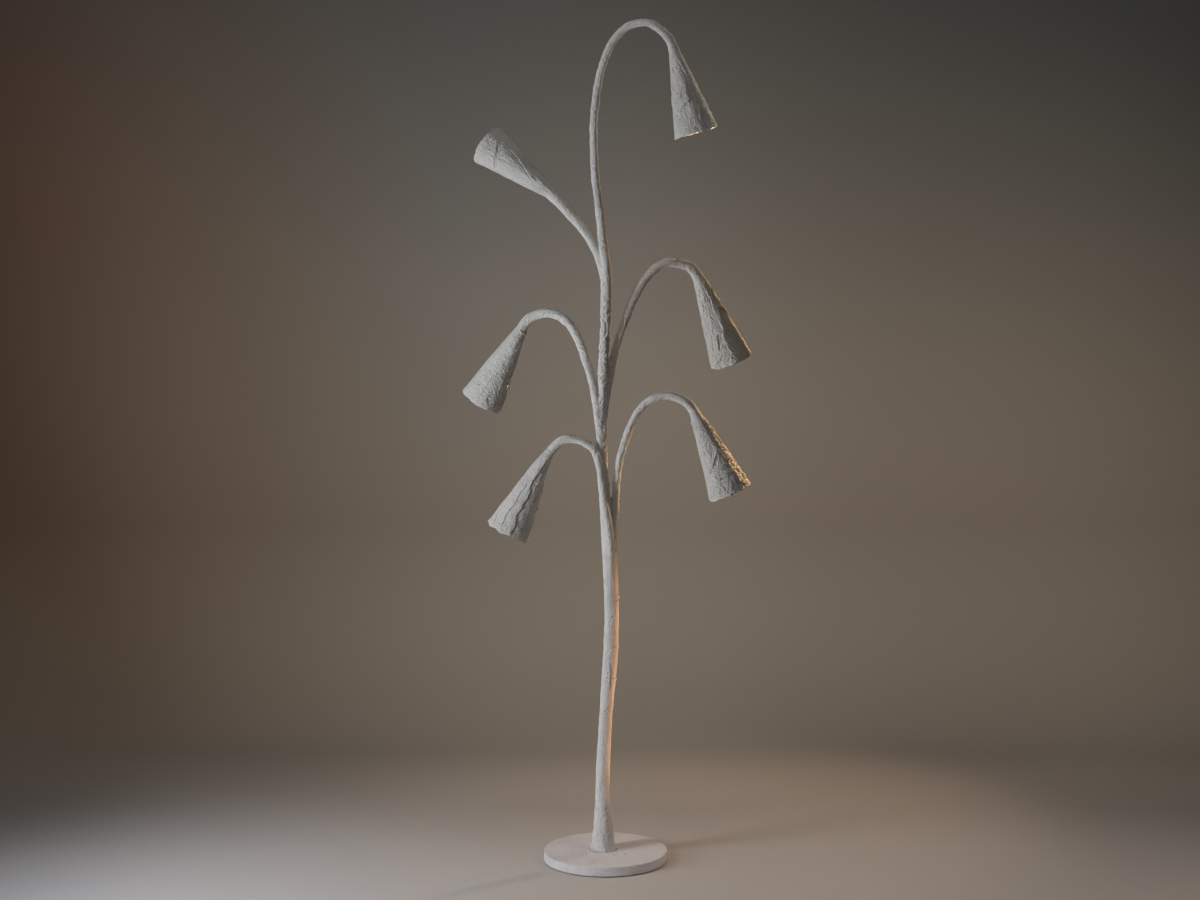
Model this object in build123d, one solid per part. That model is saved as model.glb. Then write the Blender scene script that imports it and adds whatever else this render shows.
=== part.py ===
from build123d import *
import math
import os

os.makedirs("parts", exist_ok=True)

# Tree floor lamp. Millimetres, +Z up, origin at the centre of the base's
# underside, on the floor. -Y is the front.

# ---------------------------------------------------------------- dimensions
BASE_R = 140.0            # plastered base, outer radius
BASE_H = 23.5             # top of the base above the floor
BASE_SKIN = 4.0           # plaster on the base's top and side
FELT_R, FELT_T = 133.0, 2.5
WEIGHT_R = BASE_R - BASE_SKIN - 0.05
POCKET_R, POCKET_TOP = 50.0, 14.0
RECESS_R, COVER_R, COVER_T = 59.0, 58.5, 1.5
STEM_X = -5.3             # the stem stands a little left of the base's centre
FLANGE_R, FLANGE_T = 30.0, 4.0
TUBE_R, TUBE_WALL = 4.0, 1.0
FLEX_R = 2.0
GAP = 0.05                # radial clearance between a tube and what holds it
SHADE_WALL = 3.4          # plaster on a shade
PLUG = 12.0               # solid plaster at a shade's neck
WIRE_R = 1.0              # wire of the shade frames
BULB_R = 22.5
BULB_IN = 16.0            # bulb tip inside the mouth plane
BULB_LEN = 78.0
CAP_LEN = 24.0

# Every arm is one bent tube that runs from the base to its lamp holder. Its
# route is straight runs joined by tangent arcs; these are the run corners.
ROUTE = {
    1: [(-5.3, 0.0, 14.0), (-6.9, 0.0, 170.0), (-0.5, 0.0, 330.0), (12.3, 0.0, 500.0),
        (13.4, 0.0, 600.0), (8.1, 0.0, 700.0), (5.1, -2.1, 765.0), (2.0, -4.3, 830.0),
        (-3.7, -4.3, 930.0), (-5.4, -4.3, 980.0), (-4.9, -3.8, 1030.0), (-3.4, -3.1, 1090.0),
        (0.1, -3.1, 1170.0), (3.4, -3.2, 1250.0), (3.7, -3.3, 1309.0), (1.5, -3.2, 1340.0),
        (-3.3, -2.6, 1375.0), (-9.4, -1.2, 1420.0), (-13.4, -0.2, 1470.0), (-21.1, 0.0, 1518.5),
        (-25.4, 0.0, 1575.2), (-26.8, 0.0, 1618.4), (-26.6, 0.0, 1648.7), (-25.3, -0.2, 1672.2),
        (-22.8, -0.7, 1702.4), (-18.2, -1.5, 1734.7), (-10.8, -2.8, 1769.7), (-0.9, -4.5, 1800.3),
        (11.5, -6.7, 1827.8), (31.7, -10.3, 1853.2), (50.8, -13.7, 1866.6), (72.0, -17.4, 1872.8),
        (94.1, -21.3, 1871.8), (112.9, -24.6, 1861.6), (127.8, -27.2, 1848.0), (142.4, -29.8, 1829.5),
        (150.6, -31.6, 1800.0), (166.8, -36.6, 1740.1)],
    2: [(-2.9, 8.3, 14.0), (-4.5, 8.3, 170.0), (1.8, 8.3, 330.0), (14.6, 8.3, 500.0),
        (15.7, 8.3, 600.0), (10.4, 8.3, 700.0), (6.2, 6.3, 765.0), (2.0, 4.3, 830.0),
        (-3.5, 4.4, 930.0), (-5.0, 4.5, 980.0), (-1.3, 4.9, 1030.0), (4.6, 6.2, 1068.8),
        (8.1, 7.4, 1092.9), (12.4, 8.8, 1114.9), (17.6, 10.5, 1141.5), (25.3, 13.0, 1175.6),
        (33.6, 15.6, 1197.1), (43.1, 18.7, 1225.6), (56.2, 23.0, 1257.9), (70.2, 27.6, 1287.4),
        (87.8, 33.3, 1315.0), (109.2, 40.2, 1336.2), (129.6, 46.9, 1346.4), (150.9, 53.8, 1348.5),
        (172.1, 60.7, 1343.7), (190.6, 66.7, 1334.2), (209.0, 72.8, 1306.9), (241.3, 84.3, 1225.2)],
    3: [(3.3, 0.3, 14.0), (1.7, 0.3, 170.0), (8.0, 0.3, 330.0), (20.9, 0.3, 500.0),
        (22.0, 0.3, 600.0), (17.9, 0.3, 700.0), (17.2, 0.0, 746.8), (20.2, -0.1, 775.9),
        (21.3, -0.2, 796.7), (22.1, -0.2, 825.4), (23.7, -0.2, 868.7), (26.7, -0.3, 889.8),
        (33.0, -0.6, 924.8), (42.4, -0.9, 956.1), (52.8, -1.3, 985.7), (68.1, -1.8, 1019.1),
        (89.7, -2.5, 1043.0), (106.7, -3.1, 1053.8), (127.5, -3.9, 1059.4), (149.1, -4.6, 1058.0),
        (171.5, -5.4, 1048.8), (189.0, -6.0, 1034.7), (203.4, -6.4, 1006.7), (231.9, -6.4, 942.4)],
    4: [(-12.4, 4.8, 14.0), (-14.0, 4.8, 170.0), (-7.7, 4.8, 330.0), (5.1, 4.8, 500.0),
        (6.2, 4.8, 600.0), (0.9, 4.8, 700.0), (-2.8, 4.6, 765.0), (-6.6, 4.3, 830.0),
        (-12.3, 4.4, 930.0), (-14.0, 4.5, 980.0), (-12.4, 3.9, 1030.0), (-9.6, 3.1, 1090.0),
        (-6.1, 3.1, 1170.0), (-2.8, 3.2, 1250.0), (-2.5, 3.6, 1309.0), (-10.3, 5.7, 1350.3),
        (-25.4, 13.7, 1385.4), (-35.3, 18.7, 1404.2), (-47.6, 24.9, 1421.4), (-58.5, 30.5, 1435.4),
        (-79.8, 41.4, 1456.9), (-93.9, 48.6, 1473.1), (-109.0, 56.2, 1488.1), (-132.7, 68.3, 1508.7),
        (-181.0, 92.9, 1544.0)],
    5: [(-12.0, -5.3, 14.0), (-13.6, -5.3, 170.0), (-7.3, -5.3, 330.0), (5.5, -5.3, 500.0),
        (6.6, -5.3, 600.0), (1.3, -5.3, 700.0), (-2.6, -4.8, 765.0), (-6.6, -4.3, 830.0),
        (-12.3, -4.5, 930.0), (-14.3, -5.2, 980.0), (-18.2, -3.7, 1022.5), (-21.8, -2.2, 1046.6),
        (-25.8, -0.7, 1072.5), (-33.4, 2.4, 1108.3), (-45.8, 7.4, 1143.0), (-53.8, 10.7, 1169.0),
        (-61.9, 13.9, 1188.2), (-74.1, 18.9, 1208.9), (-89.6, 25.1, 1225.1), (-107.6, 32.4, 1235.1),
        (-131.8, 42.2, 1238.2), (-152.9, 50.7, 1233.1), (-174.3, 59.3, 1219.4), (-190.9, 66.2, 1192.2),
        (-226.4, 81.2, 1127.5)],
    6: [(-2.3, -8.1, 14.0), (-3.9, -8.1, 170.0), (2.4, -8.1, 330.0), (15.2, -8.1, 500.0),
        (16.3, -8.1, 600.0), (12.3, -10.0, 700.0), (8.4, -15.3, 758.7), (3.7, -14.6, 783.5),
        (-0.3, -14.3, 807.7), (-3.8, -14.0, 830.3), (-7.3, -13.7, 856.4), (-10.4, -13.4, 880.7),
        (-13.2, -13.2, 903.1), (-25.7, -12.1, 942.7), (-46.0, -10.3, 954.6), (-63.2, -8.8, 961.4),
        (-83.6, -7.0, 964.4), (-104.5, -5.2, 955.9), (-133.4, -2.6, 920.2), (-168.6, 0.5, 850.2)],
}

# Shades: neck point, unit axis from the neck to the mouth, length along the
# axis, outer radius at the neck and at the mouth.
SHADE = {
    1: ((147.9, -30.8, 1809.6), (0.2607, -0.0799, -0.9621), 180.2, 11.6, 48.0),
    2: ((205.3, 71.2, 1316.1), (0.3645, 0.1299, -0.9221), 206.6, 12.4, 47.5),
    3: ((199.3, -6.4, 1015.8), (0.4046, 0.0, -0.9145), 188.3, 12.2, 48.5),
    4: ((-125.2, 64.5, 1503.3), (-0.7472, 0.3800, 0.5452), 182.6, 13.4, 47.5),
    5: ((-186.3, 64.2, 1200.6), (-0.4712, 0.1999, -0.8591), 193.3, 12.4, 48.5),
    6: ((-128.9, -3.0, 929.2), (-0.4493, 0.0400, -0.8925), 196.5, 11.6, 50.0),
}

# Inside its shade each tube lies on the shade's axis, up to the lamp holder.
for i in ROUTE:
    neck, axis, length = SHADE[i][:3]
    n = math.sqrt(sum(c * c for c in axis))
    axis = tuple(c / n for c in axis)
    ROUTE[i][-2] = tuple(p + 10.0 * a for p, a in zip(neck, axis))
    ROUTE[i][-1] = tuple(p + (length - 108.0) * a for p, a in zip(neck, axis))

# Plaster on the arms: outer radius, and the corner of the route where the
# coat starts, a little inside the trunk's own coat.
COAT = {1: (8.4, 14), 2: (9.0, 9), 3: (8.4, 6), 4: (9.2, 14), 5: (9.2, 8), 6: (8.6, 6)}

# Plaster on the trunk: height, centre x, radius.
TRUNK = [(23.5, -5.3, 30.0), (34.0, -5.4, 26.5), (50.0, -5.6, 24.0), (69.0, -5.9, 22.0),
         (96.0, -6.3, 19.2), (127.0, -6.6, 17.3), (178.0, -6.8, 15.6), (219.0, -5.6, 15.6),
         (289.0, -2.1, 15.0), (370.0, 3.0, 15.0), (462.0, 10.1, 16.0), (553.0, 13.6, 16.3),
         (644.0, 11.6, 16.3), (723.0, 6.6, 15.9), (764.0, 3.6, 14.6), (813.0, -0.6, 12.9),
         (867.0, -4.6, 11.6), (932.0, -8.1, 11.3), (990.0, -9.8, 11.7), (1066.0, -7.2, 11.2),
         (1144.0, -4.4, 10.6), (1204.0, -1.5, 10.7), (1263.0, 0.9, 11.2), (1309.0, 1.3, 11.2),
         (1340.0, -1.0, 10.6)]


# ------------------------------------------------------------------- helpers
def unit(v):
    n = math.sqrt(sum(c * c for c in v))
    return tuple(c / n for c in v)


def add(a, b, k=1.0):
    return tuple(x + k * y for x, y in zip(a, b))


def bent_path(points):
    """Straight runs joined by tangent arcs, each as large as its runs allow."""
    edges, here, radii = [], points[0], []
    for i in range(1, len(points) - 1):
        v = points[i]
        a, b = add(points[i - 1], v, -1), add(points[i + 1], v, -1)
        la, lb = math.dist((0, 0, 0), a), math.dist((0, 0, 0), b)
        a, b = unit(a), unit(b)
        turn = math.pi - math.acos(max(-1.0, min(1.0, sum(p * q for p, q in zip(a, b)))))
        if turn < 1e-4:
            continue
        d = 0.45 * min(la, lb)
        r = d / math.tan(turn / 2)
        radii.append(r)
        bis = unit(add(a, b))
        mid = add(v, bis, r / math.cos(turn / 2) - r)
        p0, p1 = add(v, a, d), add(v, b, d)
        edges.append(Edge.make_line(here, p0))
        edges.append(Edge.make_three_point_arc(p0, mid, p1))
        here = p1
    edges.append(Edge.make_line(here, points[-1]))
    return Wire(edges), radii


def swept(points, radius):
    wire, radii = bent_path(points)
    start = Plane(origin=points[0], z_dir=unit(add(points[1], points[0], -1)))
    body = sweep(start * Circle(radius), path=wire)
    want = math.pi * radius * radius * wire.length
    if abs(body.volume / want - 1) > 0.01:
        print("sweep volume is off:", body.volume, want)
    return body, wire.length, min(radii)


def along(i):
    """Placement of a shade: local +Z runs from the neck to the mouth."""
    neck, axis = SHADE[i][0], SHADE[i][1]
    return Location(Plane(origin=neck, z_dir=unit(axis)))


def turned(profile):
    """A closed (r, z) outline turned about the local Z axis."""
    return revolve(Plane.XZ * make_face(Polyline(*[(r, z) for r, z in profile], close=True)), Axis.Z, 360)


def rod(p, q, radius):
    d = add(q, p, -1)
    return Solid.make_cylinder(radius, math.dist(p, q), Plane(origin=p, z_dir=unit(d)))


def save(obj, node):
    export_step(obj, "parts/" + node + ".step")


def group(solids):
    return Compound(children=[s if isinstance(s, Solid) else s.solids()[0] for s in solids])


# ------------------------------------------------------------- arm tubes etc.
full, bores, flexes = {}, {}, []
for i in ROUTE:
    pts = ROUTE[i]
    outer, length, rmin = swept(pts, TUBE_R)
    inner, _, _ = swept(pts, TUBE_R - TUBE_WALL)
    full[i], _, _ = swept(pts, TUBE_R + GAP)
    tube = outer - inner
    save(tube, "arm_%d_tube" % i)
    first = add(pts[0], unit(add(pts[1], pts[0], -1)), -3.2)
    last = add(pts[-1], SHADE[i][1], 1.6)
    flex, _, _ = swept([first] + pts[1:-1] + [last], FLEX_R)
    flexes.append(flex.solids()[0])
    print("arm %d tube: length %.0f mm, tightest bend %.0f mm, volume %.1f cm3" % (i, length, rmin, tube.volume / 1000))
save(group(flexes), "lamp_flexes")

# -------------------------------------------------------------- trunk plaster
stations = []
for k, (z, x, r) in enumerate(TRUNK):
    lo, hi = TRUNK[max(k - 1, 0)], TRUNK[min(k + 1, len(TRUNK) - 1)]
    lean = unit((hi[1] - lo[1], 0, hi[0] - lo[0])) if 0 < k else (0, 0, 1)
    stations.append(Plane(origin=(x, 0, z), z_dir=lean) * Circle(r))
trunk_full = loft(stations, ruled=True)
trunk_plaster = trunk_full
for i in ROUTE:
    trunk_plaster = trunk_plaster - full[i]
parts_left = sorted(trunk_plaster.solids(), key=lambda s: -s.volume)
print("trunk plaster pieces:", [round(s.volume, 2) for s in parts_left])
trunk_plaster = parts_left[0]
save(trunk_plaster, "trunk_plaster")

# ------------------------------------------------- shades and what they hold
nuts, nipples, contacts = [], [], []
cone_full = {}
for i, (neck, axis, length, rn, rm) in SHADE.items():
    at = along(i)
    slope = (rm - rn) / length

    def r_in(t):
        return rn + slope * t - SHADE_WALL

    cone_full[i] = at * turned([(0, 0), (rn, 0), (rm, length), (0, length)])
    shell = turned([(0, 0), (rn, 0), (rm, length), (r_in(length), length), (r_in(PLUG), PLUG), (0, PLUG)])
    save((at * shell) - full[i], "shade_%d_plaster" % i)

    # wire frame: a pierced disc clamped on the nipple, six ribs, a rim ring
    t_disc = length - 115.0
    t_rim = length - 6.0
    rd = r_in(t_disc) - WIRE_R - 0.3
    rr = r_in(t_rim) - WIRE_R - 0.3
    disc = turned([(5.05, t_disc), (rd + 0.2, t_disc), (rd + 0.2, t_disc + 1.2), (5.05, t_disc + 1.2)])
    for k in range(6):
        a = math.radians(60 * k + 30)
        disc = disc - Pos((rd + 6.2) / 2 * math.cos(a), (rd + 6.2) / 2 * math.sin(a), t_disc) * Cylinder(3.2, 8)
    frame = disc
    for k in range(6):
        a = math.radians(60 * k)
        frame = frame + rod((rd * math.cos(a), rd * math.sin(a), t_disc),
                            (rr * math.cos(a), rr * math.sin(a), t_rim), WIRE_R)
    frame = frame + Pos(0, 0, t_rim) * Torus(rr, WIRE_R)
    save(at * frame.solids()[0], "shade_%d_frame" % i)

    # nipple and lock nut
    nipples.append(at * turned([(TUBE_R + GAP, length - 124), (5.0, length - 124),
                                (5.0, length - 107.5), (TUBE_R + GAP, length - 107.5)]))
    nut = Pos(0, 0, length - 118.2) * extrude(RegularPolygon(7.0, 6, major_radius=False), 3.1)
    nut = nut - Pos(0, 0, length - 116.7) * Cylinder(5.05, 8)
    nuts.append(at * nut)

    # lamp holder: domed base, skirt, blind socket
    h0, h1 = length - 113.7, length - 71.0
    holder = turned([(5.05, h0), (9.0, h0), (12.4, h0 + 2.2), (13.8, h0 + 6.0), (13.8, h0 + 14.0),
                     (13.0, h0 + 15.0), (13.0, h1 - 9.0), (14.2, h1 - 8.0), (14.2, h1 - 4.0), (13.0, h1),
                     (10.2, h1), (8.4, h1 - 4.0), (8.4, h0 + 13.0), (0, h0 + 13.0), (0, h0 + 8.0),
                     (5.05, h0 + 8.0)])
    save(at * holder, "lampholder_%d" % i)
    sleeve = turned([(7.5, h0 + 15.5), (8.3, h0 + 15.5), (8.3, h1 - 6.0), (7.5, h1 - 6.0)])
    tongue = turned([(0, h0 + 13.0), (3.0, h0 + 13.0), (2.2, h0 + 17.0), (1.4, length - 94.1), (0, length - 94.1)])
    contacts += [at * sleeve, at * tongue]

    # bulb: screw cap and opal globe
    c0 = length - BULB_IN - BULB_LEN
    cap = [(0, c0), (2.4, c0), (3.2, c0 + 1.6), (6.3, c0 + 4.6)]
    for k in range(5):
        z = c0 + 5.6 + 2.8 * k
        cap += [(6.5, z), (7.0, z + 0.9), (7.0, z + 1.3), (6.5, z + 2.2)]
    cap += [(6.6, c0 + 19.8), (10.4, c0 + CAP_LEN), (0, c0 + CAP_LEN)]
    save(at * turned(cap), "bulb_%d_cap" % i)
    g0 = c0 + CAP_LEN
    gc = length - BULB_IN - BULB_R
    outline = [(10.2, g0), (10.6, g0 + 2.0)]
    skin = [(9.6, g0), (9.9, g0 + 2.0)]
    for k in range(25):
        a = math.radians(-58 + k * (148.0 / 24))
        outline.append((max(BULB_R * math.cos(a), 0.0), gc + BULB_R * math.sin(a)))
        skin.append((max((BULB_R - 0.8) * math.cos(a), 0.0), gc + (BULB_R - 0.8) * math.sin(a)))
    outline[-1] = (0.0, gc + BULB_R)
    skin[-1] = (0.0, gc + BULB_R - 0.8)
    save(at * turned(outline + skin[::-1]), "bulb_%d_globe" % i)
save(group(nuts), "holder_locknuts")
save(group(nipples), "holder_nipples")
save(group(contacts), "holder_contacts")

# ---------------------------------------------------------------- arm plaster
coat_full = {}
for i in (1, 2, 3, 6, 4, 5):
    r, k = COAT[i]
    pts = ROUTE[i][k:]
    pts = pts[:-1] + [add(pts[-2], SHADE[i][1], 9.0)]
    outer, _, _ = swept(pts, r)
    body = outer - full[i] - trunk_full - cone_full[i]
    coat_full[i] = outer
    if i == 4:
        body = body - coat_full[1]
    if i == 5:
        body = body - coat_full[6]
    left = sorted(body.solids(), key=lambda s: -s.volume)
    print("arm %d plaster pieces:" % i, [round(s.volume, 1) for s in left])
    save(left[0], "arm_%d_plaster" % i)

# ----------------------------------------------------------------------- base
def disc(r, z0, z1, x=0.0, y=0.0):
    return Pos(x, y, z0) * Cylinder(r, z1 - z0, align=(Align.CENTER, Align.CENTER, Align.MIN))


top_steel = BASE_H - FLANGE_T
weight = disc(WEIGHT_R, FELT_T, top_steel) - disc(RECESS_R, 0, FELT_T + COVER_T) - disc(POCKET_R, 0, POCKET_TOP)
weight = weight - disc(14.0, 0, 30, STEM_X)
weight = weight - Pos(0, 92, 8.0) * Box(10.8, 92, 11.4)
COVER_SCREWS = [(55 * math.cos(math.radians(a)), 55 * math.sin(math.radians(a))) for a in (30, 150, 270)]
FLANGE_SCREWS = [(STEM_X + 22 * math.cos(math.radians(a)), 22 * math.sin(math.radians(a))) for a in (45, 135, 225, 315)]
for x, y in COVER_SCREWS:
    weight = weight - disc(2.0 + GAP, 0, 11.5, x, y)
for x, y in FLANGE_SCREWS:
    weight = weight - disc(2.5 + GAP, 10, 30, x, y)
save(weight, "base_weight")

skin = disc(BASE_R, 1.5, BASE_H) - disc(WEIGHT_R + GAP, 0, top_steel)
skin = fillet([e for e in skin.edges().filter_by(GeomType.CIRCLE)
               if abs(e.center().Z - BASE_H) < 0.01 and abs(e.radius - BASE_R) < 0.01], 1.8)
skin = skin - disc(FLANGE_R + GAP, 0, 30, STEM_X)
skin = skin - Pos(0, 137, 8.5) * Rot(90, 0, 0) * Cylinder(5.0 + GAP, 20)
save(skin, "base_plaster")

save(disc(FELT_R, 0, FELT_T), "base_felt")

cover = disc(COVER_R, FELT_T, FELT_T + COVER_T)
screws = []
for x, y in COVER_SCREWS:
    cover = cover - disc(2.0 + GAP, 0, 10, x, y)
    cover = cover - Pos(x, y, FELT_T - 0.2) * Solid.make_cone(3.9, 1.7, 1.7)
    s = Pos(x, y, FELT_T) * Solid.make_cone(3.4, 2.0, 1.3) + disc(2.0, FELT_T + 1.2, 10.5, x, y)
    s = s - Pos(x, y, FELT_T) * Box(0.8, 4.0, 1.2) - Pos(x, y, FELT_T) * Box(4.0, 0.8, 1.2)
    screws.append(s)
save(cover, "base_cover_plate")
save(group(screws), "cover_screws")

flange = disc(FLANGE_R, top_steel, BASE_H, STEM_X)
for i in ROUTE:
    flange = flange - full[i]
heads = []
for x, y in FLANGE_SCREWS:
    sink = Pos(x, y, BASE_H - 2.6) * Solid.make_cone(2.5 + GAP, 5.0, 2.6)
    flange = flange - disc(2.5 + GAP, 10, 30, x, y) - sink
    head = Pos(x, y, BASE_H - 2.6) * Solid.make_cone(2.5, 4.9, 2.5) + disc(2.5, 14.8, BASE_H - 2.5, x, y)
    head = head - Pos(x, y, BASE_H - 0.6) * extrude(RegularPolygon(1.6, 6), 2)
    heads.append(head)
save(flange, "stem_flange")
save(group(heads), "flange_screws")

block = Pos(STEM_X, 0, 4.3) * Box(62, 26, 6.3, align=(Align.CENTER, Align.CENTER, Align.MIN))
for x in (-28, 28):
    block = block + Pos(STEM_X + x, 0, 10.0) * Box(6, 22, POCKET_TOP - 10.0, align=(Align.CENTER, Align.CENTER, Align.MIN))
for k in range(6):
    for y in (-8.5, 8.5):
        block = block - disc(1.7, 4.0, 6.3, STEM_X - 22.5 + 9 * k, y)
save(block, "terminal_block")

grommet = Pos(0, 0, 8.5) * Rot(-90, 0, 0) * turned([(3.2, 133.0), (5.0, 133.0), (5.0, 140.0), (6.6, 140.0),
                                                  (6.6, 141.2), (6.0, 141.8), (3.2, 141.8)])
save(grommet, "cord_grommet")
print("written")
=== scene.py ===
import math

import bpy
import numpy as np
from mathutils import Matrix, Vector


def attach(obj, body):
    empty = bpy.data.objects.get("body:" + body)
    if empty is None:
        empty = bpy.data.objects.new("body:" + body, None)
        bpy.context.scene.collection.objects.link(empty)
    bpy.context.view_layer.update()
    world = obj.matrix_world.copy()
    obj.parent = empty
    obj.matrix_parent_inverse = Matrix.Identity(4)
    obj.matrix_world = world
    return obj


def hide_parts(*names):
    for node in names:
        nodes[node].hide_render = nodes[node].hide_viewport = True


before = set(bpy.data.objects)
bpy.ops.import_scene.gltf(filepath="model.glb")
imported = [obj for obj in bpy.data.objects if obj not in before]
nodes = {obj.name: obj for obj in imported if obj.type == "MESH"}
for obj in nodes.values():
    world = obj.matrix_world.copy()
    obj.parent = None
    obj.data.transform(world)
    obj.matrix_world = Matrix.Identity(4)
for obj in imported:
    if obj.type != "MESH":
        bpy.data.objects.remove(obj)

# Tree floor lamp, wrapped by hand in plaster bandage. Millimetres in the
# arrays below, metres in the meshes. -Y is the front.

# ------------------------------------------------------------------- camera
CAM = np.array([-12.5, -6200.0, 1870.0])
cam_data = bpy.data.cameras.new("camera")
cam_data.sensor_width = 36.0
cam_data.lens = 85.0
cam_data.clip_end = 60.0
cam = bpy.data.objects.new("camera", cam_data)
bpy.context.scene.collection.objects.link(cam)
cam.location = CAM * 0.001
cam.rotation_euler = (math.radians(90.0 - 8.56), 0.0, 0.0)
bpy.context.scene.camera = cam

# ------------------------------------------------------------ driving shapes
ROUTE = {
    1: [(-5.3, 0.0, 14.0), (-6.9, 0.0, 170.0), (-0.5, 0.0, 330.0), (12.3, 0.0, 500.0),
        (13.4, 0.0, 600.0), (8.1, 0.0, 700.0), (5.1, -2.1, 765.0), (2.0, -4.3, 830.0),
        (-3.7, -4.3, 930.0), (-5.4, -4.3, 980.0), (-4.9, -3.8, 1030.0), (-3.4, -3.1, 1090.0),
        (0.1, -3.1, 1170.0), (3.4, -3.2, 1250.0), (3.7, -3.3, 1309.0), (1.5, -3.2, 1340.0),
        (-3.3, -2.6, 1375.0), (-9.4, -1.2, 1420.0), (-13.4, -0.2, 1470.0), (-21.1, 0.0, 1518.5),
        (-25.4, 0.0, 1575.2), (-26.8, 0.0, 1618.4), (-26.6, 0.0, 1648.7), (-25.3, -0.2, 1672.2),
        (-22.8, -0.7, 1702.4), (-18.2, -1.5, 1734.7), (-10.8, -2.8, 1769.7), (-0.9, -4.5, 1800.3),
        (11.5, -6.7, 1827.8), (31.7, -10.3, 1853.2), (50.8, -13.7, 1866.6), (72.0, -17.4, 1872.8),
        (94.1, -21.3, 1871.8), (112.9, -24.6, 1861.6), (127.8, -27.2, 1848.0), (142.4, -29.8, 1829.5)],
    2: [(-2.9, 8.3, 14.0), (-4.5, 8.3, 170.0), (1.8, 8.3, 330.0), (14.6, 8.3, 500.0),
        (15.7, 8.3, 600.0), (10.4, 8.3, 700.0), (6.2, 6.3, 765.0), (2.0, 4.3, 830.0),
        (-3.5, 4.4, 930.0), (-5.0, 4.5, 980.0), (-1.3, 4.9, 1030.0), (4.6, 6.2, 1068.8),
        (8.1, 7.4, 1092.9), (12.4, 8.8, 1114.9), (17.6, 10.5, 1141.5), (25.3, 13.0, 1175.6),
        (33.6, 15.6, 1197.1), (43.1, 18.7, 1225.6), (56.2, 23.0, 1257.9), (70.2, 27.6, 1287.4),
        (87.8, 33.3, 1315.0), (109.2, 40.2, 1336.2), (129.6, 46.9, 1346.4), (150.9, 53.8, 1348.5),
        (172.1, 60.7, 1343.7), (190.6, 66.7, 1334.2)],
    3: [(3.3, 0.3, 14.0), (1.7, 0.3, 170.0), (8.0, 0.3, 330.0), (20.9, 0.3, 500.0),
        (22.0, 0.3, 600.0), (17.9, 0.3, 700.0), (17.2, 0.0, 746.8), (20.2, -0.1, 775.9),
        (21.3, -0.2, 796.7), (22.1, -0.2, 825.4), (23.7, -0.2, 868.7), (26.7, -0.3, 889.8),
        (33.0, -0.6, 924.8), (42.4, -0.9, 956.1), (52.8, -1.3, 985.7), (68.1, -1.8, 1019.1),
        (89.7, -2.5, 1043.0), (106.7, -3.1, 1053.8), (127.5, -3.9, 1059.4), (149.1, -4.6, 1058.0),
        (171.5, -5.4, 1048.8), (189.0, -6.0, 1034.7)],
    4: [(-12.4, 4.8, 14.0), (-14.0, 4.8, 170.0), (-7.7, 4.8, 330.0), (5.1, 4.8, 500.0),
        (6.2, 4.8, 600.0), (0.9, 4.8, 700.0), (-2.8, 4.6, 765.0), (-6.6, 4.3, 830.0),
        (-12.3, 4.4, 930.0), (-14.0, 4.5, 980.0), (-12.4, 3.9, 1030.0), (-9.6, 3.1, 1090.0),
        (-6.1, 3.1, 1170.0), (-2.8, 3.2, 1250.0), (-2.5, 3.6, 1309.0), (-10.3, 5.7, 1350.3),
        (-25.4, 13.7, 1385.4), (-35.3, 18.7, 1404.2), (-47.6, 24.9, 1421.4), (-58.5, 30.5, 1435.4),
        (-79.8, 41.4, 1456.9), (-93.9, 48.6, 1473.1), (-109.0, 56.2, 1488.1)],
    5: [(-12.0, -5.3, 14.0), (-13.6, -5.3, 170.0), (-7.3, -5.3, 330.0), (5.5, -5.3, 500.0),
        (6.6, -5.3, 600.0), (1.3, -5.3, 700.0), (-2.6, -4.8, 765.0), (-6.6, -4.3, 830.0),
        (-12.3, -4.5, 930.0), (-14.3, -5.2, 980.0), (-18.2, -3.7, 1022.5), (-21.8, -2.2, 1046.6),
        (-25.8, -0.7, 1072.5), (-33.4, 2.4, 1108.3), (-45.8, 7.4, 1143.0), (-53.8, 10.7, 1169.0),
        (-61.9, 13.9, 1188.2), (-74.1, 18.9, 1208.9), (-89.6, 25.1, 1225.1), (-107.6, 32.4, 1235.1),
        (-131.8, 42.2, 1238.2), (-152.9, 50.7, 1233.1), (-174.3, 59.3, 1219.4)],
    6: [(-2.3, -8.1, 14.0), (-3.9, -8.1, 170.0), (2.4, -8.1, 330.0), (15.2, -8.1, 500.0),
        (16.3, -8.1, 600.0), (12.3, -10.0, 700.0), (8.4, -15.3, 758.7), (3.7, -14.6, 783.5),
        (-0.3, -14.3, 807.7), (-3.8, -14.0, 830.3), (-7.3, -13.7, 856.4), (-10.4, -13.4, 880.7),
        (-13.2, -13.2, 903.1), (-25.7, -12.1, 942.7), (-46.0, -10.3, 954.6), (-63.2, -8.8, 961.4),
        (-83.6, -7.0, 964.4), (-104.5, -5.2, 955.9)],
}
# neck point, unit axis from neck to mouth, length, outer radius at neck and mouth
SHADE = {
    1: ((147.9, -30.8, 1809.6), (0.2607, -0.0799, -0.9621), 180.2, 11.6, 48.0),
    2: ((205.3, 71.2, 1316.1), (0.3645, 0.1299, -0.9221), 206.6, 12.4, 47.5),
    3: ((199.3, -6.4, 1015.8), (0.4046, 0.0, -0.9145), 188.3, 12.2, 48.5),
    4: ((-125.2, 64.5, 1503.3), (-0.7472, 0.3800, 0.5452), 182.6, 13.4, 47.5),
    5: ((-186.3, 64.2, 1200.6), (-0.4712, 0.1999, -0.8591), 193.3, 12.4, 48.5),
    6: ((-128.9, -3.0, 929.2), (-0.4493, 0.0400, -0.8925), 196.5, 11.6, 50.0),
}
# where each arm's own coat starts, as a corner of its route
START = {1: 13, 2: 8, 3: 4, 4: 13, 5: 7, 6: 4}
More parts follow.
